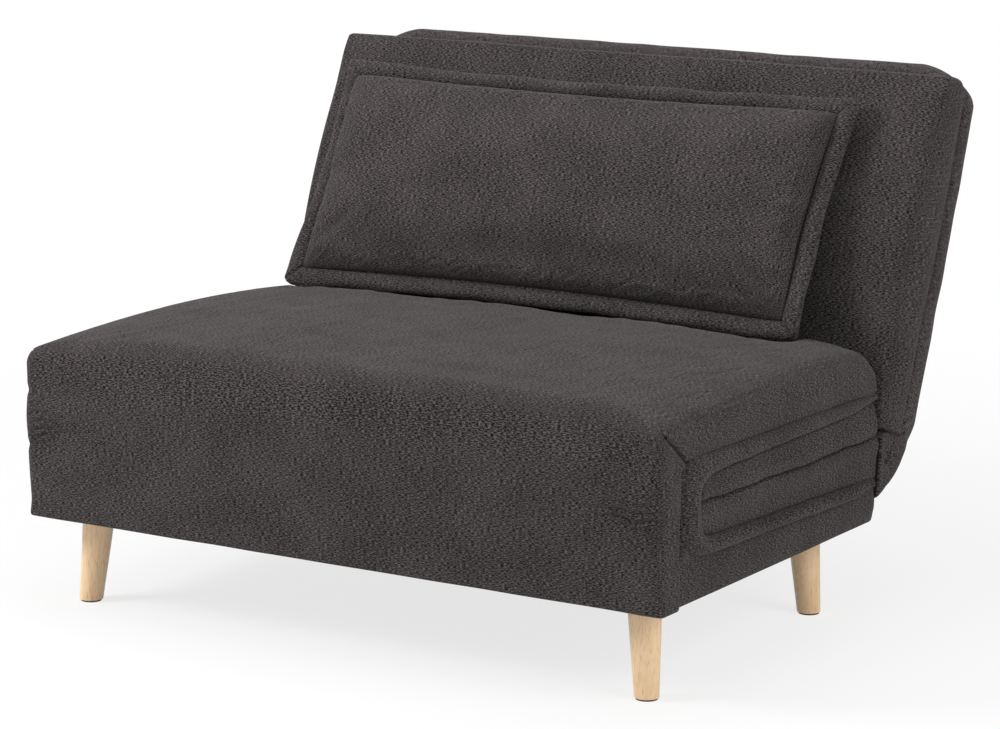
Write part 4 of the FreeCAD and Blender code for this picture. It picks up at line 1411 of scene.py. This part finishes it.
    def cut_at_crease(self, line: Array, half: Array, body: Body) -> tuple[Array, Array]:
        """Bring a roll's end to the crease plane, where its cut face meets the other roll's.

        Args:
            line: The roll's middle line, as rows of depth and height.
            half: Half its width at each point.
            body: Which layer it belongs to.

        Returns:
            The line and the half widths with the cut end added.
        """
        if body is Body.SEAT:
            extra = np.array((line[0, 0], self.places.crease_z + self.end_gap))
            return np.concatenate([extra[None], line]), np.concatenate([half[:1], half])
        extra = np.array((line[-1, 0], self.places.crease_z - self.end_gap))
        return np.concatenate([line, extra[None]]), np.concatenate([half, half[-1:]])


@dataclass
class Backrest:
    """The backrest's padded cover, the border roll round its rear edge and its rear panel."""

    places: Places
    sweep: RollSweep
    half: float = 0.572
    height: float = 0.570
    foot: float = 0.0015
    thickness: float = 0.0770
    crown: float = 0.036
    side_fall: float = 0.005
    side_power: float = 6
    front_end: Span = (0, 0.05)
    ripple: float = 0.0016
    ripple_edge: float = 0.1
    rear_half: float = 0.05
    upper_height: float = 0.3
    low_round: float = 0.030
    high_round: float = 0.011
    round_height: Span = (0.44, 0.55)
    front_round: float = 0.040
    foot_round: float = 0.003
    rear_round: float = 0.004
    seam_tuck: float = 0.0080
    seam_tuck_start: Span = (0.045, 0.070)
    edge_tuck: float = 0.011
    edge_tuck_start: float = 0.069
    tuck_side: Span = (0.4, 1)
    seam_gap: float = 0.004
    seam_side: Span = (0.036, 0.008)
    top_tuck: Span = (0.0040, 0.0085)
    top_tuck_start: float = 0.058
    top_tuck_height: float = 0.012
    top_tuck_side: Span = (0.095, 0.035)
    corner_cut: float = 0.030
    corner_cut_start: Span = (0.040, 0.068)
    roll_half: float = 0.0148
    roll_out: float = 0.001
    roll_top: float = 0.5870
    roll_corner: Span = (0.085, 0.050)
    roll_slant: float = 1.3
    roll_low: float = -0.014
    roll_rear: float = 0.1025
    roll_step: float = 0.006
    bend_points: int = 14
    roll_thinnest: float = 0.45
    roll_end: float = 0.006
    roll_full_height: float = 0.035
    roll_girth: float = 0.088
    roll_unevenness: float = 0.03
    seam: FlatLine = ((-0.014, 0.060), (0.09, 0.063), (0.15, 0.067), (0.27, 0.0765), (0.40, 0.0785),
                      (0.53, 0.0765), (0.60, 0.0760))
    panel_half: float = 0.5435
    panel_thick: Span = (0.0758, 0.0783)
    panel_height: Span = (0.017, 0.566)
    panel_round: float = 0.0011
    unevenness: Ripple = Ripple(5, 0.22)
    roll_ripple: Ripple = Ripple(31, 0.09)

    def cover(self) -> Piece:
        """The padded front, sides and top.

        Returns:
            The cover.
        """
        across = spread(0, (0.44, 0.012), (0.52, 0.006), (self.half, 0.0035))
        thick = spread(0, (0.045, 0.0034), (0.066, 0.0042), (self.thickness, 0.0022))
        heights = spread(self.foot, (0.03, 0.0045), (0.52, 0.0105), (self.height, 0.0038))
        lattice = Lattice(both_sides(across), thick, heights)
        soft = self.rounded(lattice.points)
        self.crown_front(soft, lattice.points)
        self.tuck_edges(soft, lattice.points)
        return make_mesh("back_cover", self.places.leaned(soft), lattice.faces, lattice.uvs, CLOTH)

    def rounded(self, flat: Array) -> Array:
        """Round the cover's edges: soft in front, tight along the roll.

        Args:
            flat: The lattice points, as rows of x, thickness and height.

        Returns:
            The rounded points.
        """
        _, thick, height = flat.T
        rear = thick > self.rear_half
        side = mix(self.low_round, self.high_round, ease(*self.round_height, height))
        top = np.where(rear, self.rear_round, self.high_round)
        radii = np.stack([np.where(rear, self.rear_round, side),
                          np.where(rear, self.foot_round, self.front_round),
                          np.where(height > self.upper_height, top, self.foot_round)], 1)
        return soften(flat, np.array((-self.half, 0, self.foot)),
                      np.array((self.half, self.thickness, self.height)), radii)

    def crown_front(self, soft: Array, flat: Array) -> None:
        """Swell the front face, fullest half way up, and let it fall off at the sides.

        Args:
            soft: The rounded points, which are moved.
            flat: The lattice points.
        """
        side = np.clip(np.abs(soft[:, 0]) / self.half, 0, 1)
        level = np.clip((soft[:, 2] - self.foot) / self.height, 0, 1)
        full = (1 - side ** self.side_power) ** 0.5
        front = 1 - ease(*self.front_end, flat[:, 1])
        soft[:, 1] += front * (self.side_fall * (1 - full) - self.crown * 4 * level * (1 - level))
        inward = ease(0, self.ripple_edge, self.half - np.abs(flat[:, 0]))
        soft[:, 1] += front * self.ripple * self.unevenness.at(flat * np.array((1, 0, 1))) * inward

    def tuck_edges(self, soft: Array, flat: Array) -> None:
        """Draw the rear edges in to the border roll's seam, and cut the top corners on a slant.

        Args:
            soft: The crowned points, which are moved.
            flat: The lattice points.
        """
        x, thick, height = flat.T
        side = np.clip(np.abs(soft[:, 0]) / self.half, 0, 1)
        start, _ = self.seam_tuck_start
        from_side, to_side = self.seam_side
        behind = ease(start, self.thickness, thick)
        behind = behind * ease(self.half - from_side, self.half - to_side, np.abs(x))
        soft[:, 1] += behind * (read_off(self.seam, height) - self.thickness + self.seam_gap)
        tuck = self.seam_tuck * ease(*self.seam_tuck_start, thick)
        tuck = tuck + self.edge_tuck * ease(self.edge_tuck_start, self.thickness, thick)
        soft[:, 0] -= np.sign(x) * tuck * ease(*self.tuck_side, side)
        under_roll = ease(self.top_tuck_start, self.thickness, thick)
        under_roll = under_roll * ease(self.height - self.top_tuck_height, self.height, height)
        from_side, to_side = self.top_tuck_side
        under_roll = under_roll * (1 - ease(self.half - from_side, self.half - to_side, np.abs(x)))
        soft[:, 1:] += under_roll[:, None] * np.array(self.top_tuck)
        beyond = (np.abs(x) - self.half + height - self.height + self.corner_cut).clip(0) / 2
        beyond = beyond * ease(*self.corner_cut_start, thick)
        soft[:, 0] -= np.sign(x) * beyond
        soft[:, 2] -= beyond

    def roll(self) -> Piece:
        """The border roll: up one side, across the top and down the other.

        Returns:
            The roll.
        """
        x = self.half - self.roll_half + self.roll_out
        wide, high = self.roll_corner
        angles = np.linspace(0, math.pi / 2, self.bend_points)[:, None]
        bend = np.concatenate([x - wide + wide * np.cos(angles).clip(0) ** self.roll_slant,
                               self.roll_top - high + high * np.sin(angles) ** self.roll_slant], 1)
        right = np.concatenate([[(x, self.roll_low)], bend])
        line = resampled(np.concatenate([right, right[::-1] * np.array((-1, 1))]), self.roll_step)
        seam = read_off(self.seam, line[:, 1])
        half_depth = (self.roll_rear - seam) / 2
        drawn = np.stack([line[:, 0], (self.roll_rear + seam) / 2, line[:, 1]], 1)
        wave = 1 + self.roll_unevenness * self.roll_ripple.at(drawn)
        full = ease(self.roll_low - self.roll_end, self.roll_full_height, line[:, 1])
        wave = wave * (self.roll_thinnest + (1 - self.roll_thinnest) * full)
        across = (0, math.cos(self.places.lean), -math.sin(self.places.lean))
        return self.sweep.make("back_roll", self.places.leaned(drawn), self.roll_half * wave,
                               half_depth * wave, across, BIAS_CLOTH, self.roll_girth)

    def rear_panel(self) -> Piece:
        """The cloth-covered panel inside the roll, at the rear.

        Returns:
            The panel.
        """
        across = spread(0, (0.50, 0.02), (self.panel_half, 0.004))
        front, rear = self.panel_thick
        low, high = self.panel_height
        lattice = Lattice(both_sides(across), spread(front, (rear, 0.0012)),
                          spread(low, (0.03, 0.004), (0.54, 0.02), (high, 0.004)))
        radii = np.full(lattice.points.shape, self.panel_round)
        soft = soften(lattice.points, lattice.points.min(0), lattice.points.max(0), radii)
        return make_mesh("back_rear_cover", self.places.leaned(soft), lattice.faces, lattice.uvs, CLOTH)


@dataclass
class RearFold:
    """The folded cloth between the base's rear and the backrest's lower edge, with its star of puckers."""

    places: Places
    half: float = 0.5640
    core: float = 0.010
    reaches: FlatLine = ((-97, 0.106), (-93, 0.106), (-88, 0.103), (-78, 0.0975), (-65, 0.0965),
                         (-50, 0.0970), (-36, 0.0985), (-28, 0.1015), (-15, 0.1020))
    side_round: float = 0.013
    turn_round: float = 0.03
    out_round: float = 0.13
    core_round: float = 0.02
    star: Span = (0.0260, -0.0440)
    star_dent: Hump = (0.007, 0, 0.0045)
    star_rays: Hump = (0.0045, 0.009, 0.011)
    ray_count: int = 5
    ray_turn: float = 0.7
    star_side: Span = (0.012, 0.002)
    arc_cloth: float = 0.14
    side_cloth: float = 0.1

    def build(self) -> Piece:
        """Make the fold on a lattice that fans out from the rear crease.

        Returns:
            The fold.
        """
        across = spread(0, (0.48, 0.016), (0.540, 0.006), (self.half, 0.0022))
        lattice = Lattice(both_sides(across), spread(0, (1, 0.018)), spread(0, (1, 0.016)))
        x, turn, out = lattice.points.T
        radii = np.stack([np.full_like(x, self.side_round), np.full_like(x, self.turn_round),
                          np.where(out > 0.5, self.out_round, self.core_round)], 1)
        soft = soften(lattice.points, np.array((-self.half, 0, 0)), np.array((self.half, 1, 1)), radii)
        degrees = mix(float(self.reaches[0][0]), float(self.reaches[-1][0]), soft[:, 1])
        away = mix(self.core, read_off(self.reaches, degrees), soft[:, 2])
        angle = np.radians(degrees)
        y, z = away * np.cos(angle), away * np.sin(angle)
        from_side, to_side = self.star_side
        side = ease(self.half - from_side, self.half - to_side, np.abs(soft[:, 0]))
        soft[:, 0] -= np.sign(x) * self.puckers(y, z) * side
        points = np.stack([soft[:, 0], self.places.rear_crease_y + y, self.places.crease_z + z], 1)
        corners = lattice.faces.ravel()
        on_side = np.ptp(lattice.points[lattice.faces][:, :, 0], axis=1).repeat(4) < 1e-6
        outer = self.arc_cloth + self.side_cloth * (1 - out)
        wrapped = mix(self.arc_cloth * turn, outer, turn > 0.999)[corners]
        wrapped = np.stack([soft[corners, 0], wrapped], 1)
        uvs = np.where(on_side[:, None], np.stack([y, z], 1)[corners], wrapped)
        return make_mesh("rear_fold_cover", points, lattice.faces, uvs, CLOTH)

    def puckers(self, y: Array, z: Array) -> Array:
        """The star in the fold's side: a dent with folds that run out from it.

        Args:
            y: Place behind the rear crease.
            z: Place above it.

        Returns:
            How deep each point lies.
        """
        star_y, star_z = self.star
        away = np.hypot(y - star_y, z - star_z)
        way = np.arctan2(z - star_z, y - star_y)
        rays = (0.5 + 0.5 * np.cos(self.ray_count * way + self.ray_turn)) ** 3
        height, centre, width = self.star_rays
        return humps(away, self.star_dent) + height * rays * bell(away, centre, width)


@dataclass
class LooseCushion:
    """The loose back cushion: a stuffed body in a wide padded flange, drawn upright round its seam plane."""

    places: Places
    width: float = 0.966
    height: float = 0.410
    flange: float = 0.0320
    flange_half: float = 0.0115
    flange_edge: float = 0.0016
    fine_band: float = 0.045
    flange_fold: float = 0.40
    fold_width: float = 0.0032
    flange_ripple: Ripple = Ripple(41, 0.045)
    flange_ripple_share: float = 0.07
    wander: float = 0.0030
    wander_end: float = 0.05
    wander_ripple: Ripple = Ripple(44, 0.16)
    looseness: float = 0.0035
    looseness_end: float = 0.04
    looseness_ripple: Ripple = Ripple(45, 0.13)
    front: float = 0.058
    rear: float = 0.032
    side_power: float = 16
    fall_powers: Span = (3.4, 7.0)
    roundness: Span = (0.72, 0.5)
    thinnest: float = 0.14
    draw_in: float = 0.011
    draw_power: float = 6
    corner: float = 0.021
    corner_points: int = 9
    seam_step: float = 0.006
    overlap: float = 0.002
    shift_x: float = -0.035
    lean: float = math.radians(30)
    foot_depth: float = 0.619
    foot_z: float = 0.418
    gathers: float = 0.0013
    gather_strength: float = 2.4
    gather_place: Span = (0.012, 0.014)
    gather_ripple: Ripple = Ripple(43, 0.03)
    ripple: float = 0.0022
    ripple_start: Span = (0.004, 0.05)
    border_blend: float = 0.02
    unevenness: Ripple = Ripple(7, 0.15)

    def placed(self, points: Array) -> Array:
        """Lean cushion points and set them in place.

        Args:
            points: Points drawn as (x, thickness, height).

        Returns:
            The same points in the frame.
        """
        sin, cos = math.sin(self.lean), math.cos(self.lean)
        x, thick, height = points.T
        return np.stack([x + self.shift_x, self.places.front_y + self.foot_depth + thick * cos + height * sin,
                         self.foot_z + height * cos - thick * sin], 1)

    def seam_line(self) -> Array:
        """A closed line along the seam between body and flange, its sides drawn in between the corners.

        Returns:
            Its points, as rows of x and height.
        """
        half_x, half_s, middle = self.width / 2 - self.flange, self.height / 2 - self.flange, self.height / 2
        line = []
        for quarter, (way_x, way_s) in enumerate(((1, -1), (1, 1), (-1, 1), (-1, -1))):
            for angle in np.linspace(-90 + 90 * quarter, 90 * quarter, self.corner_points):
                turn = math.radians(angle)
                line.append((way_x * (half_x - self.corner) + self.corner * math.cos(turn),
                             way_s * (half_s - self.corner) + self.corner * math.sin(turn)))
        line.append(line[0])
        x, height = resampled(np.array(line), self.seam_step)[:-1].T
        u, v = x / half_x, height / half_s
        x = x - self.draw_in * u * np.abs(u) ** self.draw_power * (1 - v ** 2)
        height = height - self.draw_in * v * np.abs(v) ** self.draw_power * (1 - u ** 2)
        pulled = np.stack([x, height + middle], 1)
        return np.concatenate([pulled, pulled[:1]])

    def drawn_in(self, x: Array, height: Array, half_x: float, half_s: float) -> tuple[Array, Array]:
        """Pull flat places in towards the middle between the corners, most half way along each side.

        Args:
            x: Across.
            height: Up.
            half_x: Half the shape's width.
            half_s: Half its height.

        Returns:
            The two places, pulled in.
        """
        u, v = x / half_x, (height - self.height / 2) / half_s
        return (x - self.draw_in * u * np.abs(u) ** self.draw_power * (1 - v ** 2).clip(0),
                height - self.draw_in * v * np.abs(v) ** self.draw_power * (1 - u ** 2).clip(0))

    def band(self) -> Piece:
        """The padded flange: a thin plate, round and soft along its edge, with a fold at each corner.

        Returns:
            The flange.
        """
        half_x, half_s = self.width / 2, self.height / 2
        up = both_sides(spread(0, (half_s - self.fine_band, 0.012), (half_s, 0.0021))) + half_s
        across = both_sides(spread(0, (half_x - self.fine_band, 0.014), (half_x, 0.0021)))
        lattice = Lattice(across, self.flange_half * np.array((-1.0, 0.0, 1.0)), up)
        x, side, s = lattice.points.T
        soft = soften(lattice.points, np.array((-half_x, -10, 0)), np.array((half_x, 10, self.height)),
                      np.full((len(x), 3), self.corner))
        in_x, in_s = half_x - np.abs(x), half_s - np.abs(s - half_s)
        inset = np.minimum(in_x, in_s)
        round_edge = np.sqrt((1 - (2 * inset / self.flange - 1) ** 2).clip(0))
        at_corner = np.maximum(in_x, in_s) < self.flange
        fold = 1 - self.flange_fold * bell(in_x - in_s, 0, self.fold_width) * at_corner
        wave = 1 + self.flange_ripple_share * self.flange_ripple.at(soft)
        thick = self.flange_edge + (self.flange_half - self.flange_edge) * round_edge * fold * wave
        wander = self.wander * self.wander_ripple.at(soft) * (1 - ease(0, self.wander_end, inset))
        loose = 1 + self.looseness * self.looseness_ripple.at(soft) * (1 - ease(0, self.looseness_end, inset))
        high = half_s + (soft[:, 2] - half_s) * (2 * loose - 1)
        across, height = self.drawn_in(soft[:, 0] * loose, high, half_x, half_s)
        points = np.stack([across, side / self.flange_half * thick + wander, height], 1)
        return make_mesh("cushion_flange", self.placed(points), lattice.faces, lattice.uvs, CUSHION_CLOTH)

    def body(self) -> Piece:
        """The stuffed body, blown up as cloth.

        Returns:
            The body.
        """
        half_x = self.width / 2 - self.flange + self.overlap
        half_s = self.height / 2 - self.flange + self.overlap
        lattice = Lattice(both_sides(spread(0, (0.9, 0.03), (1, 0.012))), np.array((-1.0, 0.0, 1.0)),
                          both_sides(spread(0, (0.8, 0.05), (1, 0.025))))
        u, side, v = lattice.points.T
        fall, power = (np.where(v < 0, *pair) for pair in (self.fall_powers, self.roundness))
        full = ((1 - np.abs(u) ** self.side_power) * (1 - np.abs(v) ** fall)).clip(0) ** power
        full = self.thinnest + (1 - self.thinnest) * full
        thick = np.where(side < 0, -self.front, self.rear) * np.abs(side) * full
        across, height = self.drawn_in(u * half_x, v * half_s + self.height / 2, half_x, half_s)
        piece = make_mesh("cushion_body", np.stack([across, thick, height], 1), lattice.faces)
        Stuffing().blow_up(piece, self.seam_line())
        return self.dressed(piece)

    def dressed(self, piece: Piece) -> Piece:
        """Subdivide, crease softly, lay out the cloth map and set the body in place.

        Args:
            piece: The stuffed body, drawn upright.

        Returns:
            The same piece, dressed and in place.
        """
        level = piece.modifiers.new("subdivision", "SUBSURF")
        level.levels = level.render_levels = 1
        baked(piece)
        mesh = piece.data
        points = read_points(mesh).astype(float)
        edge = line_distance(points[:, (0, 2)], self.seam_line())
        gathers = self.gathers * np.sin(self.gather_ripple.at(points, (1, 0, 1)) * self.gather_strength)
        gathers = gathers * bell(edge, *self.gather_place)
        ripple = self.ripple * self.unevenness.at(points) * ease(*self.ripple_start, edge)
        points[:, 1] += np.sign(points[:, 1]) * (gathers + ripple)
        corners = np.empty(len(mesh.loops), np.int32)
        mesh.loops.foreach_get("vertex_index", corners)
        write_cloth_map(mesh, self.cloth_places(points)[corners])
        write_points(mesh, self.placed(points))
        mesh.shade_smooth()
        mesh.materials.clear()
        mesh.materials.append(CUSHION_CLOTH.material())
        return piece

    def cloth_places(self, points: Array) -> Array:
        """Where each point lies on the cloth, which falls over the body's border on all four sides.

        Args:
            points: The body's points, drawn upright.

        Returns:
            A flat place for each point, in metres.
        """
        x, thick, height = points.T
        out_x = np.abs(x) - (self.width / 2 - self.flange)
        out_s = np.abs(height - self.height / 2) - (self.height / 2 - self.flange)
        fallen = (self.front - np.abs(thick)).clip(0) * np.sign(-thick)
        nearer = ease(-self.border_blend, self.border_blend, out_x - out_s)
        return np.stack([x + np.sign(x) * nearer * fallen,
                         height + np.sign(height - self.height / 2) * (1 - nearer) * fallen], 1)


@dataclass(frozen=True)
class Stuffing:
    """Blows a closed shape up as cloth over filling, within a cap on how far a point may move."""

    pressure: float = 4.0
    frames: int = 20
    cap: float = 0.016
    voxel: float = 0.006
    grip: Span = (0.004, 0.018)
    least_grip: float = 0.01
    steps: int = 5
    mass: float = 0.3
    stretch_stiffness: float = 25
    shear_stiffness: float = 15
    bending_stiffness: float = 2.5

    def blow_up(self, piece: Piece, seam: Array) -> None:
        """Simulate the piece's cloth, held along its seam, and keep the result as its mesh.

        Args:
            piece: The closed shape, drawn upright.
            seam: The seam's line, as (x, z) points.
        """
        remesh = piece.modifiers.new("remesh", "REMESH")
        remesh.mode = "VOXEL"
        remesh.voxel_size = self.voxel
        baked(piece)
        start = read_points(piece.data)
        held = piece.vertex_groups.new(name="seam")
        grip = 1 - ease(*self.grip, line_distance(start[:, (0, 2)].astype(float), seam))
        for number in np.flatnonzero(grip > self.least_grip):
            held.add([int(number)], float(grip[number]), "REPLACE")
        self.set_cloth(piece, held.name)
        for frame in range(1, self.frames + 1):
            bpy.context.scene.frame_set(frame)
        baked(piece)
        bpy.context.scene.frame_set(1)
        moved = read_points(piece.data) - start
        length = np.linalg.norm(moved, axis=1)[:, None]
        moved *= self.cap * np.tanh(length / self.cap) / np.maximum(length, 1e-9)
        write_points(piece.data, start + moved)

    def set_cloth(self, piece: Piece, held: str) -> None:
        """Give the piece a cloth modifier that blows it up from inside.

        Args:
            piece: The closed shape.
            held: The name of the points that hold it.
        """
        cloth = piece.modifiers.new("cloth", "CLOTH")
        settings = cloth.settings
        settings.vertex_group_mass = held
        settings.quality = self.steps
        settings.mass = self.mass
        settings.tension_stiffness = settings.compression_stiffness = self.stretch_stiffness
        settings.shear_stiffness = self.shear_stiffness
        settings.bending_stiffness = self.bending_stiffness
        settings.use_pressure = True
        settings.uniform_pressure_force = self.pressure
        settings.effector_weights.gravity = 0
        cloth.collision_settings.use_collision = False
        cloth.point_cache.frame_start, cloth.point_cache.frame_end = 1, self.frames


@dataclass
class Staples:
    """Staples round the dust cover's edge, set out by Geometry Nodes along a line."""

    pitch: float = 0.032
    wire: float = 0.0005
    length: float = 0.010
    wire_sides: int = 6
    side_inset: float = 0.008
    rear_inset: float = 0.050

    def row(self) -> Piece:
        """One closed row of staples under the dust cover, in from its edges.

        Returns:
            The staples as a plain mesh.
        """
        low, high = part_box("base_dust_cover")
        left, right, front = low.x + self.side_inset, high.x - self.side_inset, low.y + self.side_inset
        rear = high.y - self.rear_inset
        line = ((left, front, low.z), (right, front, low.z), (right, rear, low.z), (left, rear, low.z))
        mesh = bpy.data.meshes.new("dust_cover_staples")
        mesh.from_pydata(line, [(i, (i + 1) % len(line)) for i in range(len(line))], [])
        group, identifiers = self.group()
        steel = FRAME_FINISHES["plated_steel"].material()
        return grown(linked("dust_cover_staples", mesh), group, {identifiers["Steel"]: steel})

    def group(self) -> Group:
        """The tree: short wires at even steps, each along the line.

        Returns:
            The group, and each input's identifier by name.
        """
        group, identifiers = geometry_group("staple_row", {
            "Pitch": ("Float", self.pitch), "Wire radius": ("Float", self.wire),
            "Length": ("Float", self.length), "Steel": ("Material", None)})
        tree = Tree(group)
        start = tree.add("NodeGroupInput")
        path = tree.add("GeometryNodeMeshToCurve", {0: start.outputs["Geometry"]})
        spots = tree.add("GeometryNodeCurveToPoints", {0: path.outputs[0], "Length": start.outputs["Pitch"]},
                         mode="LENGTH")
        wire = tree.add("GeometryNodeMeshCylinder", {"Vertices": self.wire_sides,
                                                     "Radius": start.outputs["Wire radius"],
                                                     "Depth": start.outputs["Length"]})
        rows = tree.add("GeometryNodeInstanceOnPoints", {0: spots.outputs[0], "Instance": wire.outputs[0],
                                                         "Rotation": spots.outputs["Rotation"]})
        end_group(tree, rows.outputs[0], start.outputs["Steel"])
        return group, identifiers


@dataclass
class Studio:
    """A plain pale floor, soft lamps and the camera."""

    azimuth: float = 32.34846
    elevation: float = 11.51858
    distance: float = 5.649125
    target: Triple = (0.07504, -0.13512, 0.38981)
    lens: float = 133.28
    floor_size: float = 60
    floor_colour: Rgb = (0.93, 0.93, 0.93)
    floor_fade: Span = (0.9, 2.2)
    floor_white: Span = (0.765, 1.0)
    world_light: float = 0.35

    def build(self) -> None:
        """Set up floor, lamps, world and camera."""
        scene = bpy.context.scene
        scene.view_settings.view_transform = "Standard"
        self.floor()
        self.world(scene)
        self.lamp("key", (-2.7, -2.5, 2.6), 1.5, 125, (0.1, -0.1, 0.3))
        self.lamp("fill", (3.6, -0.5, 2.4), 2.0, 64, (0, 0, 0.35))
        self.lamp("top", (-0.2, 0.2, 3.6), 2.6, 41, (0, 0, 0.3))
        self.camera(scene)

    def floor(self) -> None:
        """A white floor that takes the shadow and fades to the plain backdrop far away."""
        bpy.ops.mesh.primitive_plane_add(size=self.floor_size)
        plane = bpy.context.object
        plane.name = "floor"
        material = bpy.data.materials.new("studio_floor")
        material.use_nodes = True
        tree = Tree(material.node_tree)
        place = tree.add("ShaderNodeTexCoord").outputs["Object"]
        away = tree.vector("LENGTH", place).outputs["Value"]
        (near, far), (least, most) = self.floor_fade, self.floor_white
        white_share = tree.add("ShaderNodeMapRange", {0: away, 1: near, 2: far, 3: least, 4: most}).outputs[0]
        rays = tree.add("ShaderNodeLightPath")
        seen = tree.math("MAXIMUM", rays.outputs["Is Camera Ray"], rays.outputs["Is Glossy Ray"])
        paint = tree.add("ShaderNodeBsdfDiffuse", {"Color": (*self.floor_colour, 1)})
        white = tree.add("ShaderNodeEmission", {"Color": (1, 1, 1, 1), "Strength": 1.0})
        mixed = tree.add("ShaderNodeMixShader", {0: tree.math("MULTIPLY", white_share, seen),
                                                 1: paint.outputs[0], 2: white.outputs[0]})
        tree.add("ShaderNodeOutputMaterial", {"Surface": mixed.outputs[0]})
        plane.data.materials.append(material)

    def world(self, scene: bpy.types.Scene) -> None:
        """Even light from all round, and white where the camera sees past the floor.

        Args:
            scene: The scene that the world belongs to.
        """
        world = bpy.data.worlds.new("studio")
        scene.world = world
        world.use_nodes = True
        tree = Tree(world.node_tree)
        rays = tree.add("ShaderNodeLightPath")
        mirrored = tree.math("MAXIMUM", rays.outputs["Is Glossy Ray"], rays.outputs["Is Transmission Ray"])
        seen = tree.math("MAXIMUM", rays.outputs["Is Camera Ray"], mirrored)
        strength = tree.math("MULTIPLY_ADD", seen, 1 - self.world_light, self.world_light)
        light = tree.add("ShaderNodeBackground", {"Color": (1, 1, 1, 1), "Strength": strength})
        tree.add("ShaderNodeOutputWorld", {"Surface": light.outputs[0]})

    def lamp(self, name: str, place: Triple, size: float, power: float, aim: Triple) -> None:
        """A square soft lamp aimed at a point.

        Args:
            name: The lamp's name.
            place: Where it stands.
            size: The length of its sides.
            power: Its power in watts.
            aim: The point that it looks at.
        """
        data = bpy.data.lights.new(name, "AREA")
        data.energy = power
        data.size = size
        self.aim(linked(name, data), np.array(place), np.array(aim))

    def camera(self, scene: bpy.types.Scene) -> None:
        """The camera at the photograph's angle.

        Args:
            scene: The scene that looks through it.
        """
        data = bpy.data.cameras.new("camera")
        data.sensor_width = 36
        data.lens = self.lens
        camera = linked("camera", data)
        a, e = math.radians(self.azimuth), math.radians(self.elevation)
        back = np.array((math.sin(a) * math.cos(e), -math.cos(a) * math.cos(e), math.sin(e)))
        self.aim(camera, np.array(self.target) + back * self.distance, np.array(self.target))
        scene.camera = camera

    @staticmethod
    def aim(thing: bpy.types.Object, place: Array, aim: Array) -> None:
        """Set a lamp or camera at a place, looking at a point.

        Args:
            thing: The lamp or camera.
            place: Where it stands.
            aim: The point that it looks at.
        """
        thing.location = place
        thing.rotation_mode = "QUATERNION"
        thing.rotation_quaternion = Vector(aim - place).to_track_quat("-Z", "Y")


def dress_frame(frame: dict) -> None:
    """Give the frame's own parts their finishes, by their slots, and paint the recline hinges black as shade
    in the gap where they show.
    """
    for name, node in frame["nodes"].items():
        for slot in node.material_slots:
            finish = FRAME_FINISHES.get(slot.material.name.split(".")[0]) if slot.material else None
            # Recline hinges get painted shade: black, to look like the dark gap they show through.
            in_gap_shade = name.startswith("recline_")
            slot.material = (RECLINE_GAP_SHADE if in_gap_shade else finish or CLOTH).material()


def joint_place(frame: dict, name: str) -> Triple:
    """Where a joint of the frame turns."""
    return next(joint["pos_m"] for joint in frame["joints"] if joint["name"] == name)


def main() -> None:
    """Load the frame, and build every piece and the studio round it."""
    logging.basicConfig(level=logging.INFO)
    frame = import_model()
    _, front_y, crease_z = joint_place(frame, "seat_fold")
    _, rear_crease_y, _ = joint_place(frame, "back_recline")
    places = Places(front_y, rear_crease_y, crease_z)
    sweep = RollSweep()
    dress_frame(frame)
    declare(BaseCover(places).build(), Body.BASE,
            replaced=("base_front_pad", "lower_mattress", "base_side_panels", "base_rear_panel"))
    declare(SeatCover(places).build(), Body.SEAT,
            replaced=("seat_front_pad", "seat_pad", "seat_mattress"))
    for roll, body, solid in BorderRolls(places, sweep).build():
        declare(roll, body, replaced=(solid,))
    back = Backrest(places, sweep)
    declare(back.cover(), Body.BACKREST, replaced=("back_pad", "back_side_bands"))
    declare(back.roll(), Body.BACKREST,
            replaced=("back_border_roll_left", "back_border_roll_right", "back_border_roll_top"))
    declare(back.rear_panel(), Body.BACKREST, replaced=("back_rear_panel",))
    fold = RearFold(places).build()
    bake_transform(fold)
    finish_piece(fold, ("rear_fold_gusset",))
    cushion = LooseCushion(places)
    declare(cushion.body(), Body.CUSHION, ("back_cushion",))
    declare(cushion.band(), Body.CUSHION)
    declare(Staples().row(), Body.BASE)
    Studio().build()


if __name__ == "__main__":
    main()
